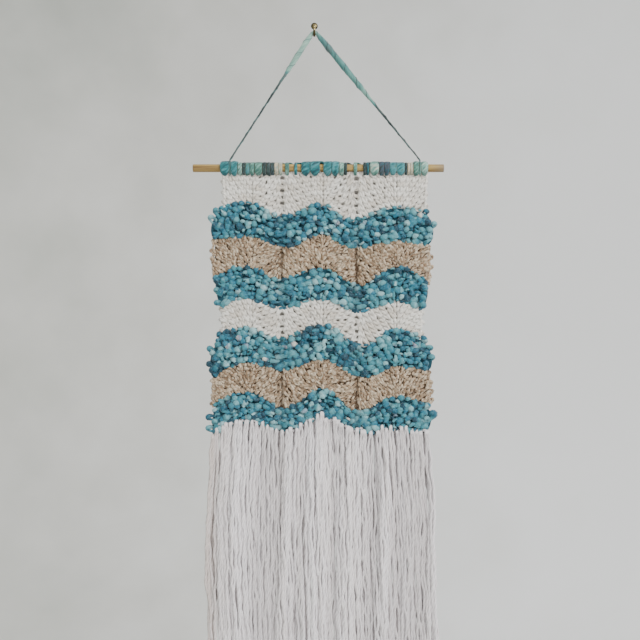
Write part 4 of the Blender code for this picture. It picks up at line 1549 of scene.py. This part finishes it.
@dataclass
class ScrewHook:
    """The brass hook: threaded screw, round flange and bent wire with a rounded tip."""

    sides: int = 28
    thread_pitch: float = 1.15 * MM
    thread_height: float = 0.28 * MM
    thread_start: float = 1.2 * MM
    # Where the painted shade and dark reflections lie: a ring out from this share of the flange's radius, a
    # spot, and the hook below a height
    rim: float = 0.5
    spot: tuple = (-2.1 * MM, -0.2 * MM)
    bowl_shade_top: float = -3.3 * MM

    def tarnish_and_shade(self, x: float, y: float, z: float) -> float:
        """How much painted shade and dark reflection the brass gets: a ring on the flange's rim, a spot at
        its upper left, and down the hook, broken there by a painted glint.

        Args:
            x, y, z: a point of its surface.

        Returns:
            From 0, bright, to 1, brown.
        """
        if y < -1.2 * FLANGE_DEPTH:
            low = min(1.0, max(0.0, (self.bowl_shade_top - z) / (1.2 * MM)))
            glint = math.exp(-(((z - self.bowl_shade_top + 4 * MM) / (1.1 * MM)) ** 2))
            return 0.9 * low * (1 - 0.6 * glint)
        ring = min(1.0, max(0.0, (math.hypot(x, z) / FLANGE_RADIUS - self.rim) / 0.22))
        far = math.hypot(x - self.spot[0], z - self.spot[1])
        return max(ring, math.exp(-((far / (1.5 * MM)) ** 2)))

    def profile(self) -> list[tuple[float, float, float, float]]:
        """The hook's sections from the screw's point to the tip, as y, z, radius and heading."""
        straight = math.pi
        sections = [
            (SCREW_LENGTH, 0.0, 0.1 * MM, straight),
            (SCREW_LENGTH - 3 * MM, 0.0, SCREW_RADIUS, straight),
            (0.0, 0.0, SCREW_RADIUS, straight),
            (0.0, 0.0, FLANGE_RADIUS - 0.15 * MM, straight),
            (-0.15 * MM, 0.0, FLANGE_RADIUS, straight),
        ]
        for deep, wide in (
            (0.35, 1.0), (0.55, 0.96), (0.75, 0.84), (0.83, 0.74), (0.9, 0.64), (0.96, 0.53), (1.0, 0.42),
        ):
            sections.append((-deep * FLANGE_DEPTH, 0.0, wide * FLANGE_RADIUS, straight))
        neck = -1.1 * FLANGE_DEPTH
        sections.append((neck, 0.0, WIRE_RADIUS, straight))
        bend = neck - (BOWL_Y + BOWL_RADIUS)
        for angle in np.linspace(0, math.pi / 2, 13)[1:]:
            y = neck - bend * math.sin(angle)
            sections.append((y, -bend * (1 - math.cos(angle)), WIRE_RADIUS, math.pi + angle))
        for angle in np.linspace(0, math.pi, 27):
            y = BOWL_Y + BOWL_RADIUS * math.cos(angle)
            z = BOWL_Z - BOWL_RADIUS * math.sin(angle)
            sections.append((y, z, WIRE_RADIUS, 1.5 * math.pi - angle))
        for rise, share in ((0.5, 1.0), (0.9, 0.93), (1.2, 0.78), (1.4, 0.55), (1.5, 0.25)):
            y = BOWL_Y - BOWL_RADIUS
            sections.append((y, BOWL_Z + rise * MM, share * WIRE_RADIUS, 0.5 * math.pi))
        return sections

    def bend(self) -> Piece:
        """Turns and bends the hook and cuts its thread."""
        points = []
        sections = self.profile()
        for y, z, radius, heading in sections:
            for a in np.arange(self.sides) * 2 * math.pi / self.sides:
                rise = radius * math.sin(a)
                spot = y + rise * math.sin(heading), z - rise * math.cos(heading)
                points.append((radius * math.cos(a), *spot))
        mesh = skin("cup_hook", points, loft(len(sections), self.sides, flip=True), 50)
        # The painted shade and dark reflections, stored for the finish
        store(mesh, "shade", [1 - self.tarnish_and_shade(*point) for point in points])
        hook = place("cup_hook", mesh, BRASS)
        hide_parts("hook")
        self.thread()
        return hook

    def thread(self) -> Piece:
        """The screw's thread, a ridge wound round its shank."""
        end = SCREW_LENGTH - 1.6 * MM
        turns = (end - self.thread_start) / self.thread_pitch
        angle = np.linspace(0, turns * 2 * math.pi, int(turns * 18))
        y = lerp(self.thread_start, end, angle / angle[-1])
        slim = np.clip((SCREW_LENGTH - y) / (3 * MM), 0.1, 1)
        radius = SCREW_RADIUS * slim
        path = np.stack((radius * np.cos(angle), y, radius * np.sin(angle)), -1)
        spool = Spool(5)
        ends = np.minimum(1.0, np.minimum(angle, angle[-1] - angle) / 3)
        spool.wind(path, np.maximum(self.thread_height * ends * slim, 0.02 * MM), BACKWARD)
        return spool.cut("screw_thread", BRASS)


@dataclass
class Studio:
    """A plain pale floor that curves up into walls, soft light and the photograph's camera."""

    camera_x: float = 6.9 * MM
    camera_z: float = -360.6 * MM
    distance: float = 1.07
    view_width: float = 0.7784
    sensor: float = 36.0
    floor_z: float = -2.0
    wall_radius: float = 4.5
    wall_height: float = 4.0
    curve: float = 1.6
    sides: int = 96
    # The plaster's colours, from painted shade to painted light
    wall: tuple = dyes(
        (0.0, 200, 202, 195), (0.32, 229, 228, 223), (0.62, 247, 247, 245), (0.86, 255, 255, 255),
    )

    def camera(self) -> None:
        """Sets the camera level and square to the wall, as the photograph was taken."""
        made = bpy.data.cameras.new("camera")
        made.sensor_width = made.sensor_height = self.sensor
        made.lens = self.sensor * self.distance / self.view_width
        camera = bpy.data.objects.new("camera", made)
        camera.location = (self.camera_x, DOWEL_Y - self.distance, self.camera_z)
        camera.rotation_euler = (math.radians(90), 0.0, 0.0)
        bpy.context.scene.collection.objects.link(camera)
        bpy.context.scene.camera = camera

    def backdrop(self) -> None:
        """Turns the floor and its walls in one pale sweep, with painted light that is brighter to the right.
        """
        rise = [
            (self.wall_radius - self.curve + self.curve * math.sin(a),
             self.floor_z + self.curve * (1 - math.cos(a)))
            for a in np.linspace(0, math.pi / 2, 17)
        ]
        profile = [(0.001, self.floor_z), (1.5, self.floor_z), *rise, (self.wall_radius, self.wall_height)]
        points = [
            (radius * math.cos(a), radius * math.sin(a), z)
            for radius, z in profile
            for a in (2 * math.pi * i / self.sides for i in range(self.sides))
        ]
        mesh = skin("backdrop", points, loft(len(profile), self.sides)[:-2])
        plaster = bpy.data.materials.new("pale_plaster")
        plaster.use_nodes = True
        shader = plaster.node_tree.nodes["Principled BSDF"]
        graph = Graph(plaster.node_tree)
        where = graph.spot()
        axes = graph.add("ShaderNodeSeparateXYZ", {0: where})
        # painted light: the plaster is lighter to the right and darker above and below the hanging's height
        height = graph.plus(axes[2], 0.5)
        falling = graph.times(graph.times(height, height), -0.22)
        share = graph.span(graph.plus(axes[0], falling), -3.0, 2.0)
        mottle = graph.maths("SUBTRACT", graph.noise(where, 2.2, 3.0), 0.5)
        share = graph.plus(share, graph.times(mottle, 0.5))
        graph.join(shader, {
            "Base Color": graph.ramp(share, self.wall), "Roughness": 1.0, "Specular IOR Level": 0.0,
        })
        mesh.materials.append(plaster)
        backdrop = bpy.data.objects.new("backdrop", mesh)
        bpy.context.scene.collection.objects.link(backdrop)

    def light(self, name: str, at: tuple, size: float, power: float, colour: tuple) -> None:
        """Adds one soft lamp that faces the hanging."""
        lamp = bpy.data.lights.new(name, "AREA")
        lamp.size = size
        lamp.energy = power
        lamp.color = colour
        holder = bpy.data.objects.new(name, lamp)
        holder.location = at
        aim = Vector((0.0, 0.0, -0.4)) - Vector(at)
        holder.rotation_euler = aim.to_track_quat("-Z", "Y").to_euler()
        bpy.context.scene.collection.objects.link(holder)

    def lights(self) -> None:
        """A window's soft light from the upper right, a weaker one from the left, and the sky's."""
        self.light("window", (1.9, -2.2, 1.6), 1.2, 120.0, (1.0, 0.985, 0.965))
        self.light("fill", (-2.4, -2.6, -0.2), 2.4, 26.0, (0.95, 0.975, 1.0))
        self.light("behind", (1.2, 3.0, 1.6), 2.0, 40.0, (1.0, 1.0, 1.0))
        sky = bpy.data.worlds.new("sky")
        sky.use_nodes = True
        background = sky.node_tree.nodes["Background"]
        background.inputs["Color"].default_value = (0.93, 0.96, 1.0, 1.0)
        background.inputs["Strength"].default_value = 0.8
        bpy.context.scene.world = sky


def corners(box: tuple) -> list[list[float]]:
    """A box's two corners as plain lists."""
    return [[float(value) for value in corner] for corner in box]


def main() -> None:
    """Builds the hanging from the hook down."""
    logging.basicConfig(level=logging.INFO, format="%(name)s %(message)s")
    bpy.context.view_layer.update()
    studio = Studio()
    studio.camera()
    cloth = Cloth()
    Hanger().hang()
    ScrewHook().bend()
    Dowel().turn()
    Lashing().wind()
    ground, *stripes = KnittedPanel(cloth).knit()
    fringe = Fringe(cloth).hang()
    studio.backdrop()
    studio.lights()


if __name__ == "__main__":
    main()
